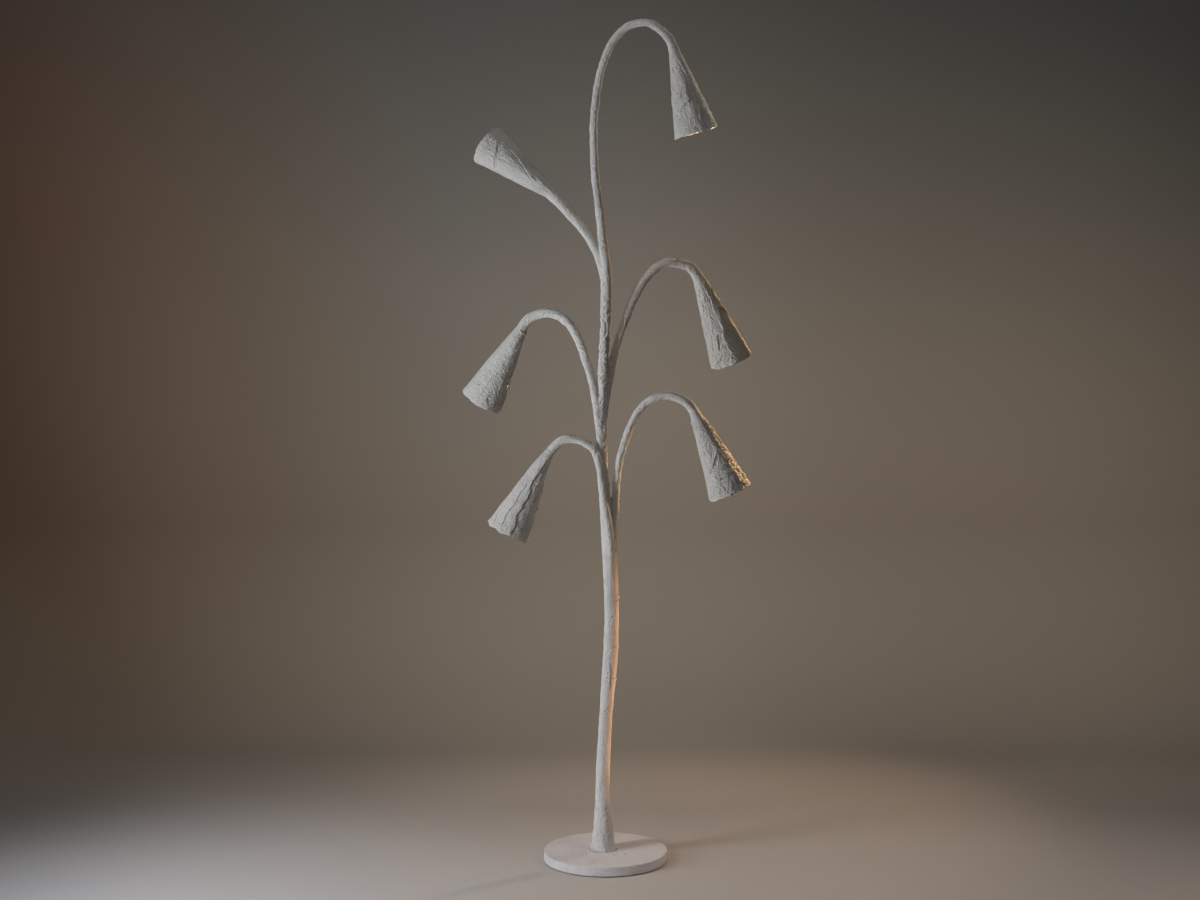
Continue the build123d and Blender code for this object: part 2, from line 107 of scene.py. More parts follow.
# diameters over the plaster: (place, value, diameter). z and x are heights and
# sideways places on the arm, u is a share of the arm's length
ARM_D = {
    1: [("z", 1255, 12.0), ("z", 1310, 15.0), ("z", 1335, 18.4), ("z", 1353, 19.4), ("z", 1377, 19.4),
        ("z", 1397, 18.8), ("z", 1421, 18.4), ("z", 1450, 17.9), ("z", 1487, 18.3),
        ("z", 1519, 17.9), ("z", 1574, 16.6), ("z", 1635, 16.1), ("z", 1700, 16.5),
        ("z", 1768, 16.1), ("x", 60, 16.2), ("x", 93, 16.8), ("x", 112, 17.7),
        ("x", 128, 18.5), ("x", 141, 20.3), ("u", 1.0, 21.8)],
    2: [("z", 932, 8.0), ("z", 990, 11.0), ("z", 1060, 15.4), ("u", 0.32, 15.9), ("u", 0.38, 17.0), ("u", 0.52, 18.6),
        ("u", 0.66, 19.4), ("u", 0.8, 20.2), ("u", 0.9, 21.8), ("u", 1.0, 23.4)],
    3: [("z", 602, 9.0), ("z", 660, 12.5), ("z", 720, 15.6), ("u", 0.36, 15.8), ("u", 0.55, 16.8), ("u", 0.75, 16.4),
        ("u", 0.87, 18.2), ("u", 0.95, 21.0), ("u", 1.0, 23.0)],
    4: [("z", 1255, 10.0), ("z", 1310, 14.0), ("z", 1345, 17.6), ("u", 0.4, 18.6), ("u", 0.5, 19.3), ("u", 0.65, 20.2),
        ("u", 0.8, 22.0), ("u", 0.92, 24.2), ("u", 1.0, 25.4)],
    5: [("z", 832, 9.0), ("z", 940, 12.5), ("z", 1020, 16.4), ("u", 0.4, 17.0), ("u", 0.5, 18.2), ("u", 0.65, 19.6),
        ("u", 0.78, 20.4), ("u", 0.88, 20.2), ("u", 0.95, 21.8), ("u", 1.0, 23.4)],
    6: [("z", 602, 9.0), ("z", 680, 13.0), ("z", 760, 17.4), ("u", 0.45, 17.2), ("u", 0.68, 16.2), ("u", 0.82, 18.0),
        ("u", 0.93, 20.2), ("u", 1.0, 21.8)],
}
# height, centre x, radius
TRUNK = [
    (21.0, -5.3, 31.0), (25.0, -5.3, 30.2), (29.0, -5.3, 28.4), (36.0, -5.4, 26.6),
    (50.0, -5.6, 24.3), (69.0, -5.9, 22.3), (85.0, -6.1, 20.6), (104.0, -6.4, 18.9),
    (127.0, -6.6, 17.3), (150.0, -6.7, 16.0), (178.0, -6.8, 15.2), (199.0, -6.3, 15.5),
    (220.0, -5.6, 15.8), (254.0, -4.0, 15.3), (289.0, -2.1, 14.9), (324.0, 0.2, 14.6),
    (347.0, 1.6, 14.6), (370.0, 3.0, 14.9), (393.0, 4.9, 15.4), (416.0, 6.8, 15.9),
    (462.0, 10.1, 16.0), (507.0, 12.2, 16.3), (553.0, 13.6, 16.3), (598.0, 13.0, 15.9),
    (644.0, 11.6, 16.2), (689.0, 9.0, 16.0), (723.0, 6.6, 15.8), (764.0, 3.6, 14.5),
    (813.0, -0.6, 12.8), (867.0, -4.6, 11.4), (903.0, -6.5, 10.9), (932.0, -8.1, 10.9),
    (959.0, -9.0, 11.3), (990.0, -9.8, 11.6), (1022.0, -8.9, 11.4), (1066.0, -7.2, 11.1),
    (1115.0, -5.4, 10.6), (1144.0, -4.4, 10.4), (1173.0, -3.0, 10.2), (1204.0, -1.5, 10.5),
    (1234.0, -0.3, 11.0), (1263.0, 0.9, 11.2), (1309.0, 1.3, 11.2), (1331.0, -0.4, 10.8),
    (1342.0, -1.3, 10.3),
]


# -------------------------------------------------------------------- noise
_rng = np.random.default_rng(11)
GRAD = _rng.normal(size=(256, 3))
GRAD /= np.linalg.norm(GRAD, axis=1)[:, None]
PERM = _rng.permutation(256)


def noise(p, seed=0):
    """Gradient noise, about -1 to 1, at the rows of p."""
    p = np.asarray(p, float)
    i = np.floor(p).astype(np.int64)
    f = p - i
    w = f * f * f * (f * (f * 6 - 15) + 10)
    out = np.zeros(len(p))
    for dx in (0, 1):
        hx = PERM[(i[:, 0] + dx + seed * 37) & 255]
        wx = w[:, 0] if dx else 1 - w[:, 0]
        for dy in (0, 1):
            hy = PERM[(hx + i[:, 1] + dy) & 255]
            wy = wx * (w[:, 1] if dy else 1 - w[:, 1])
            for dz in (0, 1):
                g = GRAD[PERM[(hy + i[:, 2] + dz + seed) & 255]]
                d = g[:, 0] * (f[:, 0] - dx) + g[:, 1] * (f[:, 1] - dy) + g[:, 2] * (f[:, 2] - dz)
                out += wy * (w[:, 2] if dz else 1 - w[:, 2]) * d
    return out * 1.7


def fbm(p, seed=0, octaves=3, gain=0.5):
    p = np.asarray(p, float)
    out, a, k = 0.0, 1.0, 1.0
    for o in range(octaves):
        out = out + a * noise(p * k + 5.3 * o, seed + o)
        a, k = a * gain, k * 2.03
    return out


def ramp(x, a=0.0, b=1.0):
    x = np.clip((x - a) / (b - a), 0, 1)
    return x * x * (3 - 2 * x)


def ring(th, r, s, lr, ls):
    """Noise coordinates on a tube: lr mm across the tube, ls mm along it."""
    return np.stack([np.cos(th) * r / lr, np.sin(th) * r / lr, s / ls], axis=1)


def helix(th, s, pitch, hand, across, along):
    """Noise coordinates that run along a winding, periodic round the tube."""
    ph = 2 * np.pi * (s / pitch + hand * th / (2 * np.pi))
    k = pitch / (2 * np.pi * across)
    return np.stack([np.cos(ph) * k, np.sin(ph) * k, s / along], axis=1)


def wound(s, th, r, pitch, hand, seed, edge=0.06, jag=0.05, wander=0.2):
    """Overlapping turns of a bandage: a sharp edge once a turn that fades to nothing before the next."""
    ph = s / pitch + hand * th / (2 * np.pi)
    ph = ph + jag * noise(ring(th, r, s, 5.0, 5.0), seed) + wander * noise(ring(th, r, s, 30.0, 60.0), seed + 1)
    x = ph - np.floor(ph)
    amp = np.clip(0.55 + 0.9 * noise(ring(th, r, s, 16.0, 34.0), seed + 2), 0.0, 1.2)
    return ramp(x, 0.0, edge) * (1 - x) ** 1.7 * amp


def torn(n, w=0.05):
    """Two levels with a crisp edge between, as where a layer of bandage ends."""
    return ramp(n, -w, w) - 0.5


def creased(n, w=0.10):
    return np.exp(-((n / w) ** 2))


def wrap_angle(a):
    return (a + np.pi) % (2 * np.pi) - np.pi


def line_field(u, v, pts):
    """Distance to a polyline in the (u, v) plane, and which side of it."""
    best = np.full(len(u), 1e9)
    side = np.ones(len(u))
    for (u0, v0), (u1, v1) in zip(pts[:-1], pts[1:]):
        du, dv = u1 - u0, v1 - v0
        k = np.clip(((u - u0) * du + (v - v0) * dv) / max(du * du + dv * dv, 1e-9), 0, 1)
        qu, qv = u - (u0 + k * du), v - (v0 + k * dv)
        d = np.hypot(qu, qv)
        near = d < best
        best = np.where(near, d, best)
        side = np.where(near, np.sign(du * (v - v0) - dv * (u - u0)), side)
    return best, side


def feature(u, th, r_of, kind, pts, h, w, fade=9.0, jag=0.0, seed=0):
    """Relief of one edge, ridge or crack. pts are (place along, degrees round)."""
    thc = math.radians(sum(p[1] for p in pts) / len(pts))
    rr = r_of(u)
    v = wrap_angle(th - thc) * rr
    mids = [(p[0], (math.radians(p[1]) - thc) * float(r_of(np.array([p[0]]))[0])) for p in pts]
    out = np.zeros(len(u))
    lo, hi = min(p[0] for p in mids) - fade - 6, max(p[0] for p in mids) + fade + 6
    lv, hv = min(p[1] for p in mids) - fade - 6, max(p[1] for p in mids) + fade + 6
    m = (u > lo) & (u < hi) & (v > lv) & (v < hv)
    if not m.any():
        return out
    uu, vv = u[m], v[m]
    if jag:
        q = np.stack([uu / 5, vv / 5, np.full(len(uu), seed * 1.7)], axis=1)
        uu = uu + jag * noise(q, seed + 3)
        vv = vv + jag * noise(q + 9.1, seed + 4)
    d, side = line_field(uu, vv, mids)
    if kind == "ridge":
        f = np.exp(-((d / w) ** 2))
    elif kind == "crack":
        f = -np.exp(-((d / w) ** 2))
    else:  # a step: raised on the left of the line's direction
        sd = d * side
        f = ramp(sd, -0.2 * w, w) * np.exp(-np.clip(sd, 0, None) / fade * 1.6)
        f = f * np.where(side > 0, 1, 1) - 0.25 * np.exp(-(((sd + 0.7 * w) / w) ** 2))
        # ends die out
        a, b = mids[0], mids[-1]
        end = np.minimum(np.hypot(uu - a[0], vv - a[1]), np.hypot(uu - b[0], vv - b[1]))
        beyond = np.minimum(1.0, np.exp(-np.clip(d - fade, 0, None) / 3.0))
        f = f * beyond * ramp(end, 0.0, 4.0)
    out[m] = h * f
    return out


# -------------------------------------------------------------- mesh helpers
def make_mesh(name, co, quads):
    me = bpy.data.meshes.new(name)
    me.vertices.add(len(co))
    me.vertices.foreach_set("co", (np.asarray(co) * 0.001).astype(np.float32).ravel())
    quads = np.asarray(quads, np.int32)
    me.loops.add(quads.size)
    me.loops.foreach_set("vertex_index", quads.ravel())
    me.polygons.add(len(quads))
    me.polygons.foreach_set("loop_start", np.arange(0, quads.size, quads.shape[1], dtype=np.int32))
    me.update(calc_edges=True)
    me.validate()
    me.polygons.foreach_set("use_smooth", np.ones(len(me.polygons), bool))
    return me


def add_object(name, me, body, replaced=(), material=None):
    ob = bpy.data.objects.new(name, me)
    bpy.context.scene.collection.objects.link(ob)
    if material is not None:
        me.materials.clear()
        me.materials.append(material)
    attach(ob, body)
    if replaced:
        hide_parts(*replaced)
    return ob


def coords(me):
    co = np.zeros(len(me.vertices) * 3, np.float32)
    me.vertices.foreach_get("co", co)
    return co.reshape(-1, 3).astype(float) * 1000.0


def edges_of(me):
    e = np.zeros(len(me.edges) * 2, np.int32)
    me.edges.foreach_get("vertices", e)
    return e.reshape(-1, 2)


def neighbour_mean(x, e, n):
    deg = np.bincount(e[:, 0], minlength=n) + np.bincount(e[:, 1], minlength=n)
    out = np.empty_like(x)
    for k in range(x.shape[1]):
        out[:, k] = np.bincount(e[:, 0], weights=x[e[:, 1], k], minlength=n) + np.bincount(
            e[:, 1], weights=x[e[:, 0], k], minlength=n)
    return out / np.maximum(deg, 1)[:, None]


def normals_of(co, quads):
    a = co[quads[:, 2]] - co[quads[:, 0]]
    b = co[quads[:, 3]] - co[quads[:, 1]]
    n = np.cross(a, b)
    out = np.zeros_like(co)
    for c in range(4):
        for k in range(3):
            out[:, k] += np.bincount(quads[:, c], weights=n[:, k], minlength=len(co))
    return out / np.maximum(np.linalg.norm(out, axis=1), 1e-12)[:, None]


def paint_crease_shade_and_highlight(me, co, quads, gain=1.0):
    """A vertex attribute for painted shade and painted highlight: 0 in a crack, where shade is painted, 1 on a proud
    edge, where a highlight is painted, 0.5 where flat.
    """
    e = edges_of(me)
    n = normals_of(co, quads)
    lap = ((co - neighbour_mean(co, e, len(co))) * n).sum(1)
    lap2 = lap[:, None]
    for _ in range(2):
        lap2 = 0.5 * lap2 + 0.5 * neighbour_mean(lap2, e, len(co))
    base = lap2
    for _ in range(30):
        base = 0.5 * base + 0.5 * neighbour_mean(base, e, len(co))
    c = 0.5 + gain * (lap2 - base)[:, 0] * 3.2
    at = me.attributes.new("painted_crease_shade", "FLOAT", "POINT")
    at.data.foreach_set("value", np.clip(c, 0, 1).astype(np.float32))


# ---------------------------------------------------------------- centrelines
def unit(v):
    v = np.asarray(v, float)
    return v / np.linalg.norm(v)


for i in ROUTE:
    neck, axis, length = np.array(SHADE[i][0]), unit(SHADE[i][1]), SHADE[i][2]
    ROUTE[i] = [np.array(p) for p in ROUTE[i]] + [neck + 10.0 * axis, neck + (length - 108.0) * axis]


def curve_of(P, per=10):
    """Smooth line through the middles of the runs, as the bent tube goes."""
    P = [np.asarray(p, float) for p in P]
    out = [P[0]]
    for k in range(1, len(P) - 1):
        a = P[0] if k == 1 else (P[k - 1] + P[k]) / 2
        b = P[-1] if k == len(P) - 2 else (P[k] + P[k + 1]) / 2
        if k == 1:
            a = (P[0] + P[1]) / 2
            out.append(a)
        if k == len(P) - 2:
            b = (P[k] + P[k + 1]) / 2
        for j in range(1, per + 1):
            x = j / per
            out.append((1 - x) ** 2 * a + 2 * x * (1 - x) * P[k] + x * x * b)
    out.append(P[-1])
    out = np.array(out)
    s = np.r_[0, np.cumsum(np.linalg.norm(np.diff(out, axis=0), axis=1))]
    n = int(s[-1] / 2.5)
    si = np.linspace(0, s[-1], n)
    return np.stack([np.interp(si, s, out[:, k]) for k in range(3)], axis=1), si


def tangents(P):
    t = np.gradient(P, axis=0)
    for _ in range(3):
        t[1:-1] = (t[:-2] + 2 * t[1:-1] + t[2:]) / 4
    return t / np.linalg.norm(t, axis=1)[:, None]


def facing(P, T):
    """Two directions across a line: the first turned to the front."""
    v = CAM - P
    v = v / np.linalg.norm(v, axis=1)[:, None]
    e1 = v - (v * T).sum(1)[:, None] * T
    e1 /= np.linalg.norm(e1, axis=1)[:, None]
    return e1, np.cross(T, e1)


class Branch:
    def __init__(self, name, P, s, r):
        self.name, self.P, self.s, self.r = name, P, s, r
        self.T = tangents(P)
        self.e1, self.e2 = facing(P, self.T)

    def query(self, Q):
        """Distance to the surface, place along, radius there, angle round, for each point."""
        n = len(Q)
        idx = np.empty(n, np.int64)
        c2 = (self.P ** 2).sum(1)
        for a in range(0, n, 20000):
            q = Q[a:a + 20000]
            idx[a:a + 20000] = np.argmin(c2[None] - 2 * q @ self.P.T, axis=1)
        best = np.full(n, 1e18)
        s = np.zeros(n)
        foot = np.zeros((n, 3))
        for off in (-1, 0):
            j = np.clip(idx + off, 0, len(self.P) - 2)
            A, B = self.P[j], self.P[j + 1]
            d = B - A
            k = np.clip(((Q - A) * d).sum(1) / (d * d).sum(1), 0, 1)
            F = A + k[:, None] * d
            dd = ((Q - F) ** 2).sum(1)
            m = dd < best
            best = np.where(m, dd, best)
            s = np.where(m, self.s[j] + k * (self.s[j + 1] - self.s[j]), s)
            foot = np.where(m[:, None], F, foot)
        r = np.interp(s, self.s, self.r)
        e1 = np.stack([np.interp(s, self.s, self.e1[:, k]) for k in range(3)], axis=1)
        e2 = np.stack([np.interp(s, self.s, self.e2[:, k]) for k in range(3)], axis=1)
        w = Q - foot
        th = np.arctan2((w * e2).sum(1), (w * e1).sum(1))
        d = np.sqrt(best) - r
        # flat ends
        for end, sign in ((0, -1.0), (-1, 1.0)):
            if self.name != "trunk" and end == 0:
                continue
            w2 = Q - self.P[end]
            along = sign * (w2 @ self.T[end])
            m = (w2 ** 2).sum(1) < 55.0 ** 2
            if m.any():
                off = np.sqrt(np.maximum((w2[m] ** 2).sum(1) - along[m] ** 2, 0)) - self.r[end]
                d[m] = np.where(along[m] > 0, np.maximum(off, along[m]), np.maximum(d[m], along[m]))
        return d, s, r, th


branches, necks = {}, {}
zt = np.array([t[0] for t in TRUNK])
zs = np.arange(21.0, 1342.1, 2.5)
txs = np.interp(zs, zt, [t[1] for t in TRUNK])
for _ in range(12):
    txs[1:-1] = (txs[:-2] + 2 * txs[1:-1] + txs[2:]) / 4
trs = np.interp(zs, zt, [t[2] for t in TRUNK])
for _ in range(4):
    trs[1:-1] = (trs[:-2] + 2 * trs[1:-1] + trs[2:]) / 4
branches[0] = Branch("trunk", np.stack([txs, np.zeros_like(zs), zs], axis=1), zs, trs)
for i in range(1, 7):
    P, s = curve_of(ROUTE[i][START[i]:])
    neck = np.array(SHADE[i][0])
    kn = int(np.argmin(np.linalg.norm(P - neck, axis=1)))
    sn = s[kn]
    marks = []
    for kind, val, dia in ARM_D[i]:
        if kind == "u":
            marks.append((val * sn, dia / 2))
        elif kind == "z":
            top = int(np.argmax(P[:kn, 2]))
            marks.append((float(np.interp(val, P[:top, 2], s[:top])), dia / 2))
        else:
            top = int(np.argmax(P[:kn, 2]))
            near = s[top // 2:kn]
            marks.append((float(np.interp(val, P[top // 2:kn, 0], near)), dia / 2))
    marks.sort()
    r = np.interp(s, [m[0] for m in marks], [m[1] for m in marks])
    for _ in range(8):
        r[1:-1] = (r[:-2] + 2 * r[1:-1] + r[2:]) / 4
    necks[i] = (P, s, r, kn)
    keep = s <= sn + 7.0
    branches[i] = Branch("arm%d" % i, P[keep], s[keep], r[keep])


# ------------------------------------------------------------ plaster on stem
def tube_part(br, n=28):
    th = np.linspace(0, 2 * np.pi, n, endpoint=False)
    m = len(br.P)
    co = (br.P[:, None] + br.r[:, None, None] * (np.cos(th)[None, :, None] * br.e1[:, None]
                                                  + np.sin(th)[None, :, None] * br.e2[:, None])).reshape(-1, 3)
    q = []
    for j in range(m - 1):
        a = j * n + np.arange(n)
        b = j * n + (np.arange(n) + 1) % n
        q.append(np.stack([a, b, b + n, a + n], axis=1))
    q = np.concatenate(q)
    tris = []
    c0, c1 = len(co), len(co) + 1
    co = np.vstack([co, br.P[0], br.P[-1]])
    for k in range(n):
        tris.append((c0, (k + 1) % n, k))
        tris.append((c1, (m - 1) * n + k, (m - 1) * n + (k + 1) % n))
    return co, q, tris


all_v, all_f, base = [], [], 0
for br in branches.values():
    co, q, tris = tube_part(br)
    all_v.append(co)
    all_f += [tuple(int(x) + base for x in f) for f in q] + [tuple(int(x) + base for x in f) for f in tris]
    base += len(co)
raw = bpy.data.meshes.new("stem_raw")
raw.from_pydata((np.vstack(all_v) * 0.001).tolist(), [], all_f)
raw.update()
raw_ob = bpy.data.objects.new("stem_raw", raw)
bpy.context.scene.collection.objects.link(raw_ob)
rm = raw_ob.modifiers.new("remesh", "REMESH")
rm.mode = "VOXEL"
rm.voxel_size = 0.00165
bpy.context.view_layer.update()
stem_me = bpy.data.meshes.new_from_object(raw_ob.evaluated_get(bpy.context.evaluated_depsgraph_get()))
bpy.data.objects.remove(raw_ob)

co = coords(stem_me)
quads = np.zeros(len(stem_me.loops), np.int32)
stem_me.loops.foreach_get("vertex_index", quads)
quads = quads.reshape(-1, 4)
edge_list = edges_of(stem_me)
for _ in range(2):
    co = 0.5 * co + 0.5 * neighbour_mean(co, edge_list, len(co))


def union_query(Q, k=1.7):
    ds, ss, rs, ts = [], [], [], []
    for br in branches.values():
        d, s, r, th = br.query(Q)
        ds.append(d), ss.append(s), rs.append(r), ts.append(th)
    ds = np.array(ds)
    dm = ds.min(0)
    w = np.exp(-(ds - dm) / k)
    F = dm - k * np.log(w.sum(0))
    return F, w / w.sum(0), np.array(ss), np.array(rs), np.array(ts)


for it in range(2):
    F = union_query(co)[0]
    co = co - F[:, None] * normals_of(co, quads)
    co = 0.75 * co + 0.25 * neighbour_mean(co, edge_list, len(co))
F, W, S, R, TH = union_query(co)
nrm = normals_of(co, quads)
for _ in range(2):
    nrm = neighbour_mean(nrm, edge_list, len(co))
nrm /= np.linalg.norm(nrm, axis=1)[:, None]


def rot(x, z, centre_x, r):
    """Degrees round the trunk of a point that is x to the side at the front."""
    return math.degrees(math.asin(max(-1.0, min(1.0, (x - centre_x) / r))))


def trunk_relief(s, th, r):
    low = 1 - ramp(s, 90, 190)
    rough = 0.35 + 0.65 * low
    out = 0.75 * noise(ring(th, r, s, 26, 46), 3) * (1 - 0.3 * low)
    out += 0.55 * noise(ring(th, r, s, 11, 16), 4)
    out += 0.20 * fbm(ring(th, r, s, 5.4, 7.0), 5, 2)
    out += 0.60 * ramp(s, 730, 860) * fbm(ring(th, r, s, 4.6, 17.0), 15, 2)
    out += 0.06 * fbm(ring(th, r, s, 4.4, 7.0), 16, 2)
    fine = noise(ring(th, r, s, 3.6, 4.2), 6)
    up = 0.40 + 1.0 * ramp(s, 740, 900)
    out += 0.70 * up * torn(noise(helix(th, s, 96.0, -1, 13.0, 60.0), 7) + 0.07 * fine, 0.07)
    out += 0.45 * up * torn(noise(ring(th, r, s, 10, 40), 8) + 0.08 * fine, 0.08)
    gap = ramp(noise(ring(th, r, s, 10, 18), 9), -0.1, 0.3)
    out -= 0.60 * up * gap * creased(noise(helix(th, s, 64.0, 1, 12.0, 40.0), 13) + 0.06 * fine, 0.12)
    out -= 0.50 * up * (1 - gap) * creased(noise(helix(th, s, 96.0, -1, 12.0, 44.0), 14) + 0.06 * fine, 0.12)
    a = 0.50 + 0.6 * ramp(s, 740, 900)
    out += a * wound(s, th, r, 84.0, -1, 10, edge=0.035, jag=0.035, wander=0.35)
    out += 0.8 * up * wound(s, th, r, 57.0, 1, 20, edge=0.05, jag=0.05, wander=0.3) * (1 - low)
    out += 0.30 * up * rough * fbm(helix(th, s, 96.0, -1, 3.0, 16.0), 30, 2)
    out += 0.16 * up * fine
    # the foot's rough diagonal wraps
    out += low * 0.55 * wound(s, th, r, 92.0, -1, 40, edge=0.04, jag=0.08, wander=0.45)
    out += low * 0.70 * fbm(helix(th, s, 150.0, -1, 9.5, 26.0) + 0.45 * noise(ring(th, r, s, 20, 30), 45)[:, None], 44, 3)
    out += low * 0.50 * torn(noise(helix(th, s, 120.0, -1, 12.0, 30.0) + 0.4 * noise(ring(th, r, s, 16, 16), 46)[:, None], 41) + 0.12 * fine, 0.14)
    out -= low * 0.45 * gap * creased(noise(helix(th, s, 150.0, -1, 11.0, 24.0), 42) + 0.10 * fine, 0.14)
    out += low * 0.18 * fbm(ring(th, r, s, 6.0, 8.0), 48, 2)
    out += low * 1.0 * noise(ring(th, r, s, 12, 20), 47)
    rf = lambda u: np.interp(u, zs, trs)
    cx = lambda z: float(np.interp(z, zs, txs))
    rr = lambda z: float(np.interp(z, zs, trs))

    def P(x, z):
        return (z, rot(x, z, cx(z), rr(z)))

    lines = [
        ("step", [P(7.6, 545), P(11.0, 553), P(15.6, 565)], 1.9, 1.4, 12, 0.5),
        ("crack", [P(8.4, 540), P(12.0, 552)], 0.9, 1.3, 8, 0.3),
        ("crack", [P(9.0, 460), P(12.4, 447), P(12.8, 434), P(10.6, 416), P(10.2, 400)], 1.1, 1.5, 8, 0.9),
        ("ridge", [P(6.6, 452), P(8.6, 436), P(7.4, 418), P(8.2, 404)], 0.7, 1.6, 8, 0.8),
        ("step", [P(-5.5, 341), P(2.0, 350), P(9.0, 359), P(13.4, 360)], 1.1, 1.4, 12, 0.5),
        ("step", [(421.6, 10), (421.0, 50), (422.5, 100), (424.0, 140)], 1.3, 1.3, 11, 0.4),
        ("step", [P(-1.5, 474), P(8.0, 483), P(15.7, 491), (497.0, 60)], 0.9, 1.5, 10, 0.5),
        ("ridge", [(605, 38), (606, 80), (603.5, 120)], 1.8, 2.6, 8, 0.4),
        ("step", [(600.5, 140), (599, 80), (600.0, 30)], 0.9, 1.3, 10, 0.4),
        ("crack", [P(-4.6, 284), P(-4.0, 269)], 0.7, 1.1, 8, 0.3),
        ("crack", [P(-4.9, 250), P(-3.4, 232)], 0.6, 1.1, 8, 0.3),
        ("step", [(712, 70), (722, 30), (729, 12)], 1.2, 1.4, 11, 0.4),
        ("step", [(736, 72), (748, 36), (760, 14)], 1.0, 1.4, 10, 0.4),
        ("ridge", [(770, 58), (790, 64), (812, 52)], 0.9, 2.0, 10, 0.7),
        ("step", [(968, 60), (978, 34), (988, 14)], 1.2, 1.3, 10, 0.4),
        ("crack", [(1010, 40), (1030, 24), (1046, 30)], 0.7, 1.3, 8, 0.6),
        ("step", [(1112, 8), (1120, 46), (1128, 90), (1131, 140)], 1.1, 1.3, 10, 0.5),
        ("step", [(1124, -6), (1133, 34), (1141, 78), (1144, 130)], 1.0, 1.3, 10, 0.5),
        ("crack", [(1182, -10), (1204, 12), (1230, 2)], 0.7, 1.3, 9, 0.8),
        ("step", [(1300, -60), (1306, -10), (1316, 50)], 0.8, 1.4, 10, 0.6),
    ]
    for n, (kind, pts, h, w, fade, jag) in enumerate(lines):
        out += 1.5 * feature(s, th, rf, kind, pts, h, w, fade, jag, n)
    return out


def arm_relief(i, s, th, r):
    sd = 60 + 9 * i
    out = 0.45 * noise(ring(th, r, s, 17, 34), sd)
    out += 0.22 * noise(ring(th, r, s, 8, 11), sd + 1)
    out += 0.18 * fbm(ring(th, r, s, 4.6, 9.0), sd + 11, 2)
    hand = 1 if i % 2 else -1
    fine = noise(ring(th, r, s, 3.6, 4.0), sd + 12)
    out += 0.60 * torn(noise(helix(th, s, 41.0 + 3 * i, hand, 10.0, 60.0), sd + 13) + 0.06 * fine, 0.09)
    out += 0.45 * torn(noise(ring(th, r, s, 8, 40), sd + 14) + 0.08 * fine, 0.09)
    gap = ramp(noise(ring(th, r, s, 8, 14), sd + 15), -0.1, 0.3)
    out -= 0.60 * gap * creased(noise(ring(th, r, s, 8.0, 46.0), sd + 16) + 0.06 * fine, 0.13)
    out += 0.55 * wound(s, th, r, 61.0 + 3 * i, hand, sd + 2, edge=0.04, jag=0.04, wander=0.35)
    out += 0.32 * wound(s, th, r, 39.0 + i, -hand, sd + 3, edge=0.06, jag=0.05, wander=0.3)
    out += 0.12 * fbm(helix(th, s, 41.0 + 3 * i, hand, 2.8, 14.0), sd + 5, 2)
    out += 0.12 * fine
    # pits that the brush missed
    pit = noise(ring(th, r, s, 3.6, 4.4), sd + 8)
    out -= 0.25 * ramp(pit, 0.72, 0.98)
    return out


relief = np.zeros(len(co))
for b in range(7):
    m = W[b] > 0.02
    f = trunk_relief(S[b][m], TH[b][m], R[b][m]) if b == 0 else arm_relief(b, S[b][m], TH[b][m], R[b][m])
    relief[m] += W[b][m] * f
co = co + relief[:, None] * nrm
stem_me.vertices.foreach_set("co", (co * 0.001).astype(np.float32).ravel())
stem_me.update()
stem_me.polygons.foreach_set("use_smooth", np.ones(len(stem_me.polygons), bool))
paint_crease_shade_and_highlight(stem_me, co, quads, 0.75)


# ------------------------------------------------------------------- shades
WALL = 3.2
NT, NA = 190, 224
# strips: how many lengthwise layers; wrinkle: crosswise wrinkles; fibre:
# slanting scratches; each is a height in mm
LOOK = {
    1: dict(strips=5, step=0.75, wrinkle=0.25, fibre=0.30, lobe=0.9, twist=0.25, ragged=1.2, torn=0.65),
    2: dict(strips=6, step=0.62, wrinkle=0.22, fibre=0.50, lobe=0.8, twist=-0.35, ragged=0.8, torn=0.68),
    3: dict(strips=5, step=0.75, wrinkle=0.20, fibre=0.66, lobe=0.8, twist=0.45, ragged=1.2, torn=0.7),
    4: dict(strips=6, step=0.80, wrinkle=0.30, fibre=0.32, lobe=1.0, twist=0.30, ragged=1.0, torn=0.42),
    5: dict(strips=4, step=0.22, wrinkle=0.62, fibre=0.22, lobe=1.0, twist=-0.25, ragged=1.1, torn=0.40),
    6: dict(strips=5, step=0.42, wrinkle=0.14, fibre=0.25, lobe=0.8, twist=0.10, ragged=1.9, torn=0.45),
}
